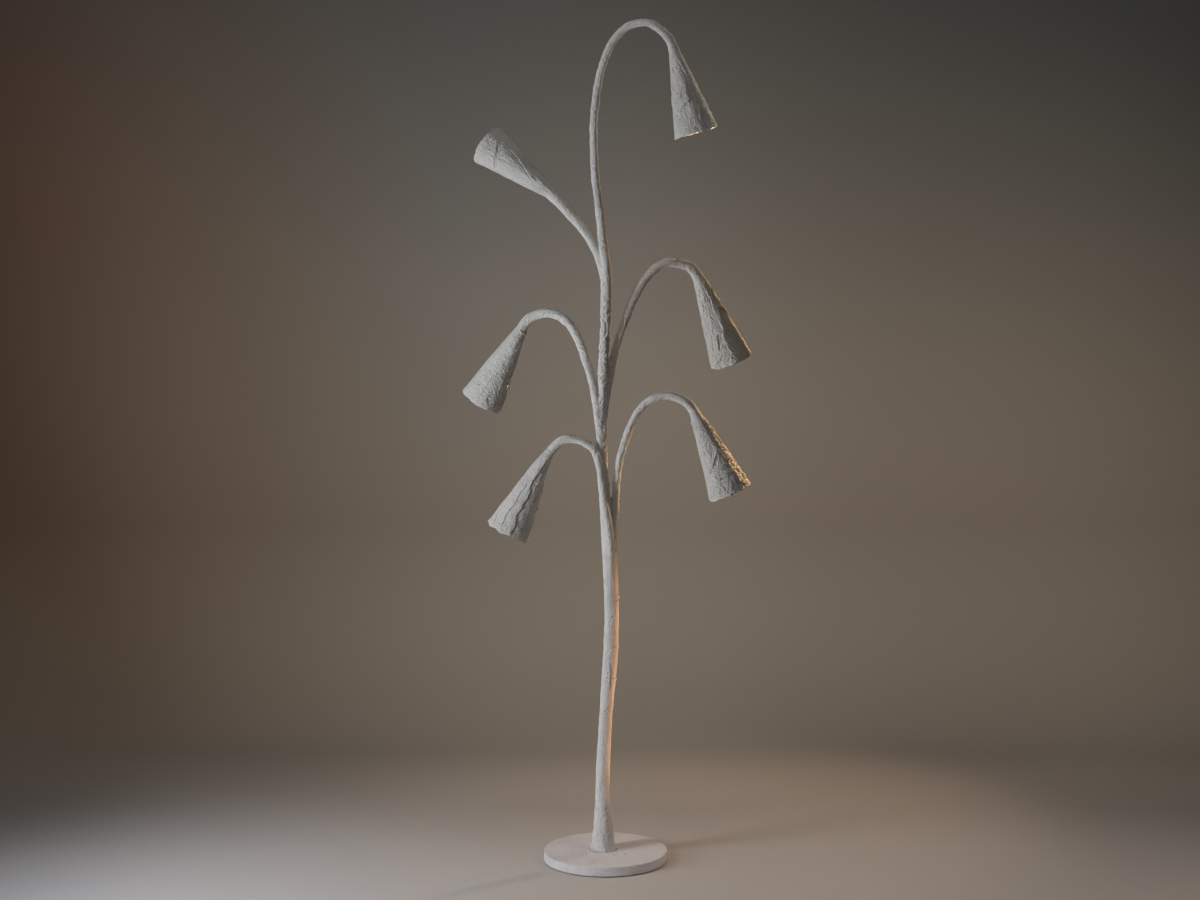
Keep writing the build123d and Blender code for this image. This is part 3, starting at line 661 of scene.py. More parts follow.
LINES = {
    1: [("crack", [(106.6, -25.5), (116, 4), (125.9, 26.8), (140, 27), (155.3, 25.5)], 0.6, 1.1, 8, 0.8),
        ("step", [(108.0, -18.0), (114, 0), (122.5, 20.0)], 0.4, 1.2, 10, 0.6),
        ("crack", [(36, 45), (42, 43)], 1.6, 1.0, 8, 0.2),
        ("step", [(180, -30), (150, -22), (120, -34), (92, -24), (60, -30), (30, -14)], 0.9, 1.3, 12, 1.2),
        ("ridge", [(60, -6), (78, -14), (96, -2)], 0.5, 1.4, 8, 0.8)],
    2: [("crack", [(201.4, 54.6), (189.5, 27.5), (175.5, 15.6)], 1.2, 1.1, 8, 0.5),
        ("step", [(96.9, -77.7), (88, -60), (81.0, -44.2)], 1.6, 1.2, 11, 0.4),
        ("crack", [(101, -78), (108.0, -63.6)], 1.0, 1.6, 8, 0.4),
        ("crack", [(47, 8), (53, 10)], 1.4, 1.0, 8, 0.2),
        ("crack", [(134.0, 10.6), (144, 13.5), (150, 15.5), (158, 18.4), (165.8, 22.4)], 1.9, 1.4, 8, 0.3),
        ("step", [(204, 6), (178, -8), (150, 4), (120, -14), (90, -4), (56, -16), (20, -4)], 0.9, 1.3, 12, 1.3),
        ("step", [(30, 40), (66, 34), (98, 46), (132, 34), (166, 44), (200, 34)], 0.7, 1.3, 12, 1.3),
        ("ridge", [(36, -70), (41, -82)], 1.1, 1.8, 8, 0.3)],
    3: [("step", [(80.0, -36.0), (84.0, -29.7), (99.0, -5.5), (116.4, 17.2), (120, 24)], 0.8, 1.2, 13, 0.5),
        ("crack", [(143, -20), (160.0, -9.0), (178.3, 0.9), (168, 8), (156.9, 12.6)], 0.55, 1.2, 9, 0.8),
        ("crack", [(146, 8.0), (149, 9.4)], 1.3, 1.1, 6, 0.2),
        ("crack", [(43.8, 23.0), (46.6, 24.4)], 1.2, 1.0, 6, 0.2),
        ("crack", [(84.0, 35.0), (87.2, 36.0)], 1.2, 1.0, 6, 0.2),
        ("crack", [(170.0, 22.6), (173.2, 24.0)], 1.2, 1.0, 6, 0.2),
        ("ridge", [(12, 84), (13.4, 108)], 1.5, 2.6, 8, 0.3),
        ("step", [(186, -34), (160, -40), (132, -32), (104, -44), (70, -36), (30, -46)], 0.8, 1.2, 11, 1.4)],
    4: [("step", [(147.0, 30.2), (157.3, 31.5), (168.0, 30.4), (182.0, 27.0)], 1.1, 1.1, 12, 0.2),
        ("crack", [(147.0, 33.5), (157.3, 35.0), (168.0, 34.4), (182.0, 32.0)], 0.7, 1.6, 9, 0.2),
        ("crack", [(149.7, 22.0), (143, 8), (138.5, -2.9), (136.5, -18.9), (132, -34), (129.5, -51.2)], 1.3, 1.2, 8, 0.6),
        ("step", [(28.8, -2.8), (50.3, -1.1), (70.7, 17.5), (94.3, 30.7), (115.0, 34.8), (134.1, 35.3)], 1.3, 1.3, 12, 0.8),
        ("crack", [(42.8, 9.2), (36, 10), (32.0, 9.2)], 1.6, 1.7, 8, 0.4),
        ("step", [(-6.4, 13.6), (9.2, 5.1), (23.5, 10.4)], 1.1, 1.3, 10, 0.4),
        ("crack", [(60, 12), (84, 20), (110, 22), (128, 18)], 0.7, 1.1, 8, 1.4),
        ("crack", [(150, -8), (164, -2), (176, -6)], 0.3, 1.0, 7, 0.6)],
    5: [("crack", [(148.6, 34.8), (152.2, 36.4)], 1.5, 1.3, 6, 0.3),
        ("crack", [(168, -13), (174.0, -19)], 1.1, 1.7, 7, 0.6),
        ("crack", [(148, -30), (153.5, -35)], 1.1, 1.5, 7, 0.6),
        ("ridge", [(2.5, -130), (4.4, -93), (4.0, -40), (2.0, 0)], 1.3, 2.0, 9, 0.6),
        ("step", [(104, 8), (138, 6), (170, 10), (190, 6)], 0.3, 1.4, 11, 1.5),
        ("step", [(176, -60), (160, -90), (150, -120)], 0.8, 1.3, 10, 0.8)],
    6: [("step", [(92, 20), (101.9, 22.3), (120.2, 19.7), (140.9, 23.0), (158.8, 25.1), (171.4, 20.9), (180.8, 19.8)], 0.85, 0.8, 13, 1.3),
        ("crack", [(92, 19), (101.9, 21.3), (120.2, 18.7), (140.9, 22.0), (158.8, 24.1), (171.4, 19.9), (180.8, 18.8)], 0.2, 0.8, 8, 1.3),
        ("step", [(50.3, -5.1), (67.9, 1.9), (81.3, -0.3), (86.0, -10.2), (106.0, -12.4), (121.8, -5.4), (124.6, -11.5),
                  (145.7, -2.3), (157.5, -8.7), (164.5, -14.9), (177.4, -10.7), (186, -12)], 1.15, 0.8, 14, 0.9),
        ("crack", [(50.3, -6.1), (67.9, 0.9), (81.3, -1.3), (86.0, -11.2), (106.0, -13.4), (121.8, -6.4), (124.6, -12.5),
                   (145.7, -3.3), (157.5, -9.7), (164.5, -15.9), (177.4, -11.7), (186, -13)], 0.3, 0.8, 8, 0.9),
        ("step", [(12, -20), (23.5, -16.4), (36, -12), (52.2, -7.7)], 1.0, 1.0, 11, 0.4),
        ("step", [(150, 60), (162.4, 58.9), (182.7, 46.0), (190.7, 44.0)], 0.7, 1.0, 10, 0.5),
        ("step", [(96, -44), (118, -38), (136, -46), (160, -40), (184, -44)], 0.7, 1.0, 11, 0.9),
        ("crack", [(178.6, -16.4), (182.0, -13.4)], 1.5, 1.6, 7, 0.4),
        ("ridge", [(84.2, -72), (85.4, -96)], 1.2, 1.9, 8, 0.3),
        ("ridge", [(119.7, -72), (121.0, -98)], 1.3, 1.9, 8, 0.3),
        ("ridge", [(153.8, -74), (155.0, -98)], 1.2, 1.8, 8, 0.3)],
}
# real openings through the plaster: (along, degrees round) ends, and width
HOLES = {
    1: [([(36.6, 43.4), (41.4, 44.4)], 1.3)],
    2: [],
    3: [],
    4: [],
    5: [([(114.6, -68.0), (117.0, -64.0)], 3.4), ([(122.0, -59.0), (123.0, -56.0)], 2.4),
        ([(127.6, -72.0), (130.2, -67.0)], 3.6), ([(135.0, -68.0), (136.4, -64.0)], 3.0)],
    6: [],
}
# notches and lips of the rim: degrees round, half width in degrees, mm
RIM = {
    1: [(-52, 6, -2.6), (-80, 18, -1.6), (-26, 15, 3.2), (6, 9, 1.4), (70, 34, 4.0)],
    2: [(60, 12, -0.8), (30, 10, 0.9), (-20, 12, -0.8), (-60, 14, 0.8)],
    3: [(60, 14, 1.6), (40, 8, -0.8), (5, 12, 1.0), (-14, 7, -1.4), (-26, 6, 1.3), (-48, 10, -1.2), (-74, 8, 0.9)],
    4: [(34, 5, -2.6), (44, 10, 1.6), (-10, 16, 0.8), (-40, 12, -0.9)],
    5: [(60, 14, 0.8), (34, 9, -1.1), (10, 12, 0.9), (-26, 14, -0.8), (-60, 18, 1.2)],
    6: [(68, 8, -1.4), (50, 9, 1.8), (34, 6, -1.6), (18, 9, 1.4), (-4, 8, -1.9), (-24, 10, 1.5), (-44, 7, -1.2), (-62, 8, 1.6), (-80, 6, -2.6)],
}


def shade_relief(i, t, th, r, L):
    lk = LOOK[i]
    sd = 130 + 23 * i
    frac = np.clip(t / L, 0, 1)
    grow = ramp(t, -8, 22)
    # out of round, and long soft dents
    out = lk["lobe"] * grow * noise(ring(th, 1.3, t, 1.0, 90), sd)
    out += 0.75 * grow * noise(ring(th, r, t, 19, 30), sd + 1)
    out += 0.30 * noise(ring(th, r, t, 9, 11), sd + 2)
    out += 0.24 * grow * fbm(ring(th, r, t, 5.0, 6.8), sd + 16, 2)
    # torn layers and the creases between them
    fine = noise(ring(th, r, t, 3.4, 3.8), sd + 17)
    slant = t + 0.45 * r * np.sin(th + i)
    some = ramp(noise(ring(th, r, t, 18, 26), sd + 18), -0.45, 0.30)
    tn = lk["torn"] * grow
    out += 1.0 * tn * some * torn(noise(ring(th, r, slant, 15, 50), sd + 19) + 0.08 * fine)
    out += 0.65 * tn * torn(noise(ring(th, r, t, 12, 34), sd + 20) + 0.09 * fine + 0.18, 0.06)
    out += 0.5 * tn * torn(noise(ring(th, r, t, 24, 15), sd + 21) + 0.07 * fine - 0.2, 0.05)
    gap = ramp(noise(ring(th, r, t, 13, 20), sd + 22), 0.0, 0.30)
    out -= 0.95 * tn * gap * creased(noise(ring(th, r, slant, 15, 44), sd + 23) + 0.06 * fine, 0.075)
    gap = ramp(noise(ring(th, r, t, 14, 14), sd + 24), 0.05, 0.35)
    out -= 0.75 * tn * gap * creased(noise(ring(th, r, t, 26, 13), sd + 25) + 0.06 * fine, 0.085)
    # strips of bandage laid lengthwise, with torn zigzag edges
    ph = lk["strips"] * th / (2 * np.pi) + lk["twist"] * frac * 2.0
    ph = ph + 0.10 * noise(ring(th, r, t, 7, 7), sd + 3) + 0.04 * noise(ring(th, r, t, 2.6, 2.6), sd + 4)
    ph = ph + 0.28 * noise(ring(th, 1.4, t, 1.0, 55), sd + 5)
    x = ph - np.floor(ph)
    amp = np.clip(0.7 + 0.9 * noise(ring(th, r, t, 24, 40), sd + 6), 0.05, 1.3)
    edge = 0.8 * lk["strips"] / (2 * np.pi * np.maximum(r, 8.0))
    out += 1.7 * lk["step"] * grow * amp * np.clip(x / edge, 0, 1) * (1 - x) ** 1.5
    # turns laid across
    out += 0.8 * tn * wound(t, th, r, 46.0, 1 if i % 2 else -1, sd + 7, edge=0.03, jag=0.05, wander=0.3)
    # crosswise wrinkles on one side
    if lk["wrinkle"]:
        side = ramp(np.cos(th - math.radians(-58)), 0.05, 0.8) if i == 5 else 0.5 + 0.5 * noise(ring(th, r, t, 30, 30), sd + 9)
        wr = 1.0 - 2.4 * np.abs(noise(ring(th, r, t + 0.32 * r * np.sin(th + 1.1), 11.0, 4.0), sd + 8))
        out += 1.15 * lk["wrinkle"] * side * grow * wr
    # slanting fibres
    if lk["fibre"]:
        q = np.stack([(t * 0.55 + r * th * 0.83) / 3.8, (t * 0.83 - r * th * 0.55) / 17.0, np.full(len(t), 0.37 * i)], axis=1)
        on = ramp(noise(ring(th, r, t, 28, 34), sd + 10), -0.35, 0.35) * ramp(np.pi - np.abs(th), 0.0, 0.5)
        if i == 3:
            on = 0.5 * on + 1.5 * ramp(np.cos(th - math.radians(-80)), 0.35, 0.8)
        out += 1.9 * lk["fibre"] * grow * on * (0.6 - np.abs(noise(q, sd + 11)) * 1.6)
    out += 0.10 * fine + 0.05 * noise(ring(th, r, t, 2.4, 2.4), sd + 12)
    pit = noise(ring(th, r, t, 4.2, 4.6), sd + 14)
    out -= 0.6 * grow * ramp(pit, 0.70, 0.92)
    N, A, L0, rn, rmouth = SHADE[i]
    rf = lambda u: rn + (rmouth - rn) * np.clip(u, 0, L0) / L0
    for n, (kind, pts, h, w, fade, jag) in enumerate(LINES[i]):
        out += 1.9 * feature(t, th, rf, kind, pts, h, w, fade, jag, 7 * i + n)
    return out * ramp(t, -10, -3)


def build_shade(i):
    N, A, L, rn, rmouth = SHADE[i]
    N, A = np.array(N), unit(A)
    P, s, r_arm, kn = necks[i]
    sd = 500 + 31 * i
    a = np.linspace(-np.pi, np.pi, NA, endpoint=False) + np.pi / NA
    # collar edge and rim line, both uneven
    one = np.ones(NA)
    t0 = -8.5 + 2.2 * noise(ring(a, 1.0, 0 * a, 0.8, 1), sd) + 0.9 * noise(ring(a, 1.0, 0 * a, 0.3, 1), sd + 1)
    lk = LOOK[i]
    rim = lk["ragged"] * (0.8 * noise(ring(a, 1.0, 0 * a, 0.55, 1), sd + 2) + 0.55 * noise(ring(a, 1.0, 0 * a, 0.22, 1), sd + 3)
                          + 0.45 * noise(ring(a, 1.0, 0 * a, 0.09, 1), sd + 4) + 0.3 * noise(ring(a, 1.0, 0 * a, 0.045, 1), sd + 5))
    for deg, half, mm in RIM[i]:
        rim = rim + mm * np.exp(-((wrap_angle(a - math.radians(deg)) / math.radians(half)) ** 2))
    Lr = L + rim
    u = np.linspace(0, 1, NT + 1)
    # rows: the collar moves with t0, the rim rows with Lr
    T = t0[None] * (1 - u[:, None]) + L * u[:, None] + (Lr - L)[None] * ramp(u, 0.86, 1.0)[:, None]
    TH = np.repeat(a[None], NT + 1, axis=0)
    t, th = T.ravel(), TH.ravel()
    ra = np.interp(s[kn] + np.minimum(t, 0.0), s, r_arm)
    cone = rn + (rmouth - rn) * np.clip(t, 0, None) / L
    r0 = np.where(t < 0, ra + 0.25 + (rn - ra - 0.25) * ramp(t, -8.0, 1.0), cone)
    ro = r0 + shade_relief(i, t, th, r0, L)
    thick = WALL - 0.9 * ramp(t, L - 14, L) + 0.25 * noise(ring(th, r0, t, 9, 9), sd + 6)
    ri = r0 - np.maximum(thick, 1.7) + 0.3 * (ro - r0).clip(-0.6, 0.8) + 0.22 * noise(ring(th, r0, t, 5, 6), sd + 7)
    ri = np.minimum(ri, ro - 1.2)
    # inside, the wall ends in a plug round the tube
    v = np.clip((t - t0.min()) / (14.0 - t0.min()), 0, 1)
    first = v < 0.5
    k1, k2 = np.clip(v / 0.5, 0, 1), np.clip((v - 0.5) / 0.5, 0, 1)
    r14 = rn + (rmouth - rn) * 14.0 / L - WALL
    ti = np.where(v < 1, np.where(first, t0.min() + (12.0 - t0.min()) * k1, 12.0 + 2.0 * k2 ** 4), t)
    rin = np.where(v < 1, np.where(first, (ra - 1.5) + (4.4 - ra + 1.5) * k1, 4.4 + (r14 - 4.4) * k2), ri)

    sx = s[kn]
    end_s = s[-1]
    Tn = tangents(P)

    def place(tt, rr):
        ss = sx + tt
        c = np.stack([np.interp(ss, s, P[:, k]) for k in range(3)], axis=1)
        d = np.stack([np.interp(ss, s, Tn[:, k]) for k in range(3)], axis=1)
        over = np.clip(ss - end_s, 0, None)
        c = c + over[:, None] * A
        d = np.where((over > 0)[:, None], A, d)
        d /= np.linalg.norm(d, axis=1)[:, None]
        e1, e2 = facing(np.repeat(N[None], len(c), 0), d)
        return c + rr[:, None] * (np.cos(th)[:, None] * e1 + np.sin(th)[:, None] * e2)

    outer = place(t, ro)
    inner = place(ti, rin)
    # the lip between them
    last = np.arange(NT * NA, (NT + 1) * NA)
    lip_t = T[-1] + 0.55
    mid = (ro[last] + rin[last]) / 2

    def place_row(tt, rr):
        c = N + np.outer(tt + (sx - s[kn]), A)
        e1, e2 = facing(np.repeat(N[None], NA, 0), np.repeat(A[None], NA, 0))
        return c + rr[:, None] * (np.cos(a)[:, None] * e1 + np.sin(a)[:, None] * e2)

    # same axis offset as the grid's last row
    shift = outer[last] - place_row(T[-1], ro[last])
    lip = place_row(lip_t, mid) + shift
    co = np.vstack([outer, inner, lip])
    n1 = (NT + 1) * NA
    keep = np.ones((NT, NA), bool)
    rf = lambda x: rn + (rmouth - rn) * np.clip(x, 0, L) / L
    tc = (T[:-1] + T[1:]) / 2
    tc = (tc + np.roll(tc, -1, axis=1)) / 2
    ac = a + np.pi / NA
    for pts, w in HOLES[i]:
        thc = math.radians(sum(p[1] for p in pts) / len(pts))
        mids = [(p[0], (math.radians(p[1]) - thc) * float(rf(p[0]))) for p in pts]
        vv = wrap_angle(np.repeat(ac[None], NT, 0) - thc) * rf(tc)
        q = np.stack([tc.ravel() / 3.0, vv.ravel() / 3.0, np.full(tc.size, 0.5)], axis=1)
        d, _ = line_field(tc.ravel(), vv.ravel(), mids)
        keep &= ((d + 0.25 * noise(q, sd + 9)) > w * 0.5).reshape(NT, NA)
    # no two openings touch only at a corner
    for _ in range(2):
        k = keep
        kr, kd, kdr = np.roll(k, -1, 1), np.vstack([k[1:], k[-1:]]), np.vstack([np.roll(k, -1, 1)[1:], np.roll(k, -1, 1)[-1:]])
        bad1 = k & kdr & ~kr & ~kd
        bad2 = ~k & ~kdr & kr & kd
        keep = keep & ~bad1
        keep = keep & ~np.roll(bad2, 1, 1)
    J, I = np.nonzero(keep)
    I2 = (I + 1) % NA
    v00, v01, v10, v11 = J * NA + I, J * NA + I2, (J + 1) * NA + I, (J + 1) * NA + I2
    q = [np.stack([v00, v10, v11, v01], axis=1), np.stack([v00, v01, v11, v10], axis=1) + n1]
    # walls of the openings
    for j, ii in zip(*np.nonzero(~keep)):
        i2 = (ii + 1) % NA
        b = [((j, ii), (j, i2), j - 1, ii), ((j + 1, i2), (j + 1, ii), j + 1, ii),
             ((j + 1, ii), (j, ii), j, (ii - 1) % NA), ((j, i2), (j + 1, i2), j, i2)]
        for (p, r2, jj, kk) in b:
            if 0 <= jj < NT and keep[jj, kk]:
                p, r2 = p[0] * NA + p[1], r2[0] * NA + r2[1]
                q.append(np.array([[p, r2, r2 + n1, p + n1]]))
    k0 = np.arange(NA)
    k1_ = (k0 + 1) % NA
    # collar end
    q.append(np.stack([k0, k1_, k1_ + n1, k0 + n1], axis=1))
    # lip
    top, L2 = NT * NA, 2 * n1
    q.append(np.stack([top + k0, L2 + k0, L2 + k1_, top + k1_], axis=1))
    q.append(np.stack([L2 + k0, top + n1 + k0, top + n1 + k1_, L2 + k1_], axis=1))
    q = np.concatenate(q)
    # the rim stays round: pull nothing off, drop vertices that no face uses
    used = np.zeros(len(co), bool)
    used[q.ravel()] = True
    new = np.cumsum(used) - 1
    return co[used], new[q]


shade_meshes = {}
for i in range(1, 7):
    sc, sq = build_shade(i)
    # faces outwards
    me = make_mesh("shade_%d_skin" % i, sc, sq)
    paint_crease_shade_and_highlight(me, sc, sq, 1.05)
    shade_meshes[i] = me


# --------------------------------------------------------------------- base
def build_base():
    NAZ = 620
    az = np.linspace(-np.pi, np.pi, NAZ, endpoint=False)
    R0, H = 139.2, 23.5
    path = []  # (radius, height)
    path += [(30.3, 19.62), (30.3, 22.6), (29.6, 23.4)]
    path += [(r, H) for r in np.concatenate([np.linspace(27.0, 66, 20), np.linspace(68.5, 130, 30), np.linspace(131.5, R0 - 1.6, 6)])]
    path += [(R0 - 1.0, H - 0.12), (R0 - 0.5, H - 0.42), (R0 - 0.15, H - 0.9), (R0, H - 1.7)]
    path += [(R0, z) for z in np.linspace(H - 3.2, 3.2, 15)]
    path += [(R0 - 0.1, 2.2), (R0 - 0.5, 1.6), (R0 - 1.3, 1.5), (136.0, 1.5), (136.0, 10.0), (136.0, 19.62), (90.0, 19.62)]
    path = np.array(path)
    n = len(path)
    r = np.repeat(path[:, 0][:, None], NAZ, 1)
    z = np.repeat(path[:, 1][:, None], NAZ, 1)
    A = np.repeat(az[None], n, 0)
    # az 0 is the front (-Y), positive to +X
    # the opening for the foot is centred on the stem
    off = -5.3 * ramp(r, 76.0, 31.0)
    x, y = r * np.sin(A) + off, -r * np.cos(A)
    q = np.stack([x.ravel(), y.ravel(), np.zeros(x.size)], axis=1)
    top = (z > H - 0.13).ravel().astype(float) * (z < H + 0.01).ravel()
    side = ((r > 137.5) & (z > 1.7)).ravel().astype(float)
    rr, aa, zz = r.ravel(), A.ravel(), z.ravel()
    # trowelled top: long shallow strokes, small grit, dents
    dz = 0.34 * noise(q / (70, 46, 1), 801) + 0.20 * noise(q / (21, 17, 1), 802) + 0.10 * noise(q / (7, 6, 1), 803)
    st = np.stack([(q[:, 0] * 0.92 + q[:, 1] * 0.39) / 38, (q[:, 1] * 0.92 - q[:, 0] * 0.39) / 5.0, 0 * aa + 2.3], axis=1)
    dz += 0.13 * noise(st, 804)
    dz += 0.05 * noise(q / (2.2, 2.2, 1), 805)
    # the edge is a little proud and broken
    edge = np.exp(-(((rr - (R0 - 4)) / 5.0) ** 2))
    dz += edge * (0.25 + 0.35 * noise(ring(aa, 139, zz, 15, 50), 806)) * top
    # crumbs and spread plaster round the foot
    fx, fy = q[:, 0] + 5.3, q[:, 1]
    fr = np.hypot(fx, fy)
    fa = np.arctan2(fx, -fy)
    dz += np.exp(-np.clip(fr - 30, 0, None) / 3.6) * (2.3 + 0.9 * noise(ring(fa, 30, fr, 5, 5), 808))
    dz += np.exp(-np.clip(fr - 30, 0, None) / 10.0) * (0.6 + 1.6 * noise(ring(fa, 30, fr, 9, 9), 807))
    spoke = np.clip(noise(np.stack([np.cos(fa) * 3.4, np.sin(fa) * 3.4, 0 * fa + 0.3], axis=1), 809), 0, None)
    dz += 1.1 * spoke * np.exp(-np.clip(fr - 34, 0, None) / 12.0) * ramp(fr, 28, 34)
    grit = noise(q / (5.5, 5.5, 1) + 31, 810)
    dz += 0.7 * ramp(grit, 0.72, 1.0) * ramp(fr, 130, 60)
    for bx, by, bh, bw in ((-84.0, 111.0, 2.0, 2.6), (-44.0, -35.0, 0.9, 5.0), (44.0, -38.0, 1.0, 4.0), (20.0, -47.0, 0.8, 3.5), (-25.0, 50.0, 0.8, 4.0)):
        dz += bh * np.exp(-(((q[:, 0] - bx) ** 2 + (q[:, 1] - by) ** 2) / bw ** 2))
    z2 = zz + top * np.clip(dz, -0.9, 3.2)
    # the side: brushed round, slightly out of true
    dr = 0.55 * noise(ring(aa, 139, zz, 60, 200), 811) + 0.34 * noise(ring(aa, 139, zz, 16, 9), 812)
    dr += 0.16 * noise(ring(aa, 139, zz, 6, 4.5), 813) + 0.10 * noise(ring(aa, 139, zz, 2.8, 2.8), 814)
    dr -= 0.45 * ramp(noise(ring(aa, 139, zz, 4.5, 4.0), 819), 0.55, 0.85)
    rim_zone = np.exp(-(((zz - H) / 2.6) ** 2)) * ((rr > R0 - 2.2) & (rr < R0 + 2))
    chip = ramp(noise(ring(aa, 139, 0 * zz, 7, 9), 815), 0.25, 0.75) + 0.7 * ramp(noise(ring(aa, 139, zz, 3, 3), 816), 0.45, 0.9)
    for deg, w, k in ((-34, 5, 1.0), (-29, 2.2, 0.7), (28, 7, 0.8), (40, 4, 0.9), (52, 3, 0.6), (4, 2, 0.6), (-62, 3, 0.5)):
        chip = chip + k * np.exp(-((wrap_angle(aa - math.radians(deg)) / math.radians(w)) ** 2)) * (0.6 + 0.6 * noise(ring(aa, 139, 0 * zz, 2.5, 9), 817))
    lip = 0.6 * ramp(noise(ring(aa, 139, 0 * zz, 10, 9), 818), 0.1, 0.8)
    dr = dr - 0.85 * rim_zone * np.clip(chip, 0, 1.6) + 0.7 * rim_zone * lip
    z2 = z2 - 0.65 * rim_zone * np.clip(chip, 0, 1.6)
    zone = ((rr > R0 - 2.2)).astype(float)
    r2 = rr + dr * zone
    low = (zz < 1.7) & (rr > 137)
    r2 = np.where(low, np.minimum(r2, R0 - 0.6), r2)
    co = np.stack([r2 * np.sin(aa) + off.ravel(), -r2 * np.cos(aa), z2], axis=1)
    keep = np.ones((n, NAZ), bool)
    # opening for the cord's grommet, at the rear
    for j in range(n):
        j2 = (j + 1) % n
        zc, rc = (path[j, 1] + path[j2, 1]) / 2, (path[j, 0] + path[j2, 0]) / 2
        if rc > 134.5 and 1.6 < zc < 19:
            ac = wrap_angle(az + np.pi / NAZ - np.pi) * 138.0
            keep[j] &= ~((ac ** 2 + (zc - 8.5) ** 2 < 4.6 ** 2) & (zc < 16))
    J, I = np.nonzero(keep)
    J2, I2 = (J + 1) % n, (I + 1) % NAZ
    quads_ = np.stack([J * NAZ + I, J * NAZ + I2, J2 * NAZ + I2, J2 * NAZ + I], axis=1)
    used = np.zeros(len(co), bool)
    used[quads_.ravel()] = True
    new = np.cumsum(used) - 1
    return co[used], new[quads_]


base_co, base_q = build_base()
base_me = make_mesh("base_skin", base_co, base_q)
paint_crease_shade_and_highlight(base_me, base_co, base_q, 1.3)


# ----------------------------------------------------------------- materials
def new_material(name):
    m = bpy.data.materials.new(name)
    m.use_nodes = True
    nt = m.node_tree
    nt.nodes.clear()
    out = nt.nodes.new("ShaderNodeOutputMaterial")
    b = nt.nodes.new("ShaderNodeBsdfPrincipled")
    nt.links.new(b.outputs[0], out.inputs[0])
    return m, nt, b


def N(nt, kind, **props):
    n = nt.nodes.new(kind)
    for k, v in props.items():
        if k in n.inputs:
            n.inputs[k].default_value = v
        else:
            setattr(n, k, v)
    return n


def noise_node(nt, vec, scale, detail=4.0, rough=0.55, distortion=0.0):
    n = nt.nodes.new("ShaderNodeTexNoise")
    n.inputs["Scale"].default_value = scale
    n.inputs["Detail"].default_value = detail
    n.inputs["Roughness"].default_value = rough
    n.inputs["Distortion"].default_value = distortion
    nt.links.new(vec, n.inputs["Vector"])
    return n.outputs["Fac"]


def ramp_node(nt, fac, stops):
    r = nt.nodes.new("ShaderNodeValToRGB")
    el = r.color_ramp.elements
    while len(el) < len(stops):
        el.new(0.5)
    for e, (p, c) in zip(el, stops):
        e.position = p
        e.color = (*c, 1.0) if len(c) == 3 else c
    nt.links.new(fac, r.inputs[0])
    return r.outputs[0]


def mix_rgb(nt, fac, a, b, mode="MIX"):
    m = nt.nodes.new("ShaderNodeMix")
    m.data_type = "RGBA"
    m.blend_type = mode
    for sock, val in ((m.inputs[0], fac), (m.inputs[6], a), (m.inputs[7], b)):
        if hasattr(val, "node"):
            nt.links.new(val, sock)
        elif isinstance(val, (int, float)):
            sock.default_value = val
        else:
            sock.default_value = (*val, 1.0)
    return m.outputs[2]


def map_range(nt, val, a, b, c, d):
    m = nt.nodes.new("ShaderNodeMapRange")
    m.inputs[1].default_value, m.inputs[2].default_value = a, b
    m.inputs[3].default_value, m.inputs[4].default_value = c, d
    nt.links.new(val, m.inputs[0])
    return m.outputs[0]


def bump(nt, height, strength, distance, normal=None):
    b = nt.nodes.new("ShaderNodeBump")
    b.inputs["Strength"].default_value = strength
    b.inputs["Distance"].default_value = distance
    nt.links.new(height, b.inputs["Height"])
    if normal is not None:
        nt.links.new(normal, b.inputs["Normal"])
    return b.outputs[0]


def object_vec(nt):
    return nt.nodes.new("ShaderNodeTexCoord").outputs["Object"]


def plaster(name, light=(0.89, 0.885, 0.87), dark=(0.74, 0.73, 0.71), grain=1.0):
    m, nt, b = new_material(name)
    v = object_vec(nt)
    big = noise_node(nt, v, 22.0, 5.0, 0.6)
    fine = noise_node(nt, v, 260.0, 4.0, 0.6)
    grit = noise_node(nt, v, 900.0, 2.0, 0.6)
    c = ramp_node(nt, big, [(0.32, dark), (0.50, tuple(0.5 * (x + y) + 0.05 for x, y in zip(light, dark))), (0.66, light)])
    c = mix_rgb(nt, map_range(nt, fine, 0.35, 0.7, 0.0, 0.38), c, tuple(0.86 * x for x in light), "MIX")
    crease_shade_fac = N(nt, "ShaderNodeAttribute", attribute_name="painted_crease_shade").outputs["Fac"]
    # painted shade: cracks and creases darkened from the crease attribute
    c = mix_rgb(nt, map_range(nt, crease_shade_fac, 0.08, 0.45, 0.75, 0.0), c, (0.22, 0.21, 0.195))
    # painted highlight: proud edges lightened from the crease attribute
    c = mix_rgb(nt, map_range(nt, crease_shade_fac, 0.56, 0.85, 0.0, 0.7), c, (0.90, 0.895, 0.88))
    nt.links.new(c, b.inputs["Base Color"])
    nt.links.new(map_range(nt, fine, 0.3, 0.7, 0.80, 0.97), b.inputs["Roughness"])
    b.inputs["Specular IOR Level"].default_value = 0.22
    n1 = bump(nt, fine, 0.95 * grain, 0.0042)
    n2 = bump(nt, grit, 0.5 * grain, 0.001, n1)
    nt.links.new(n2, b.inputs["Normal"])
    return m


# three copies of one plaster: the stem's is lighter, which is painted light for the evener light on the arms, and the
# base's pink tint is painted light for the mix of warm and cool light on its top
plaster_stem = plaster("plaster_stem")
plaster_shade = plaster("plaster_shade", (0.81, 0.805, 0.79), (0.67, 0.66, 0.64))
plaster_base = plaster("plaster_base", (0.87, 0.845, 0.875), (0.76, 0.73, 0.755), 0.8)


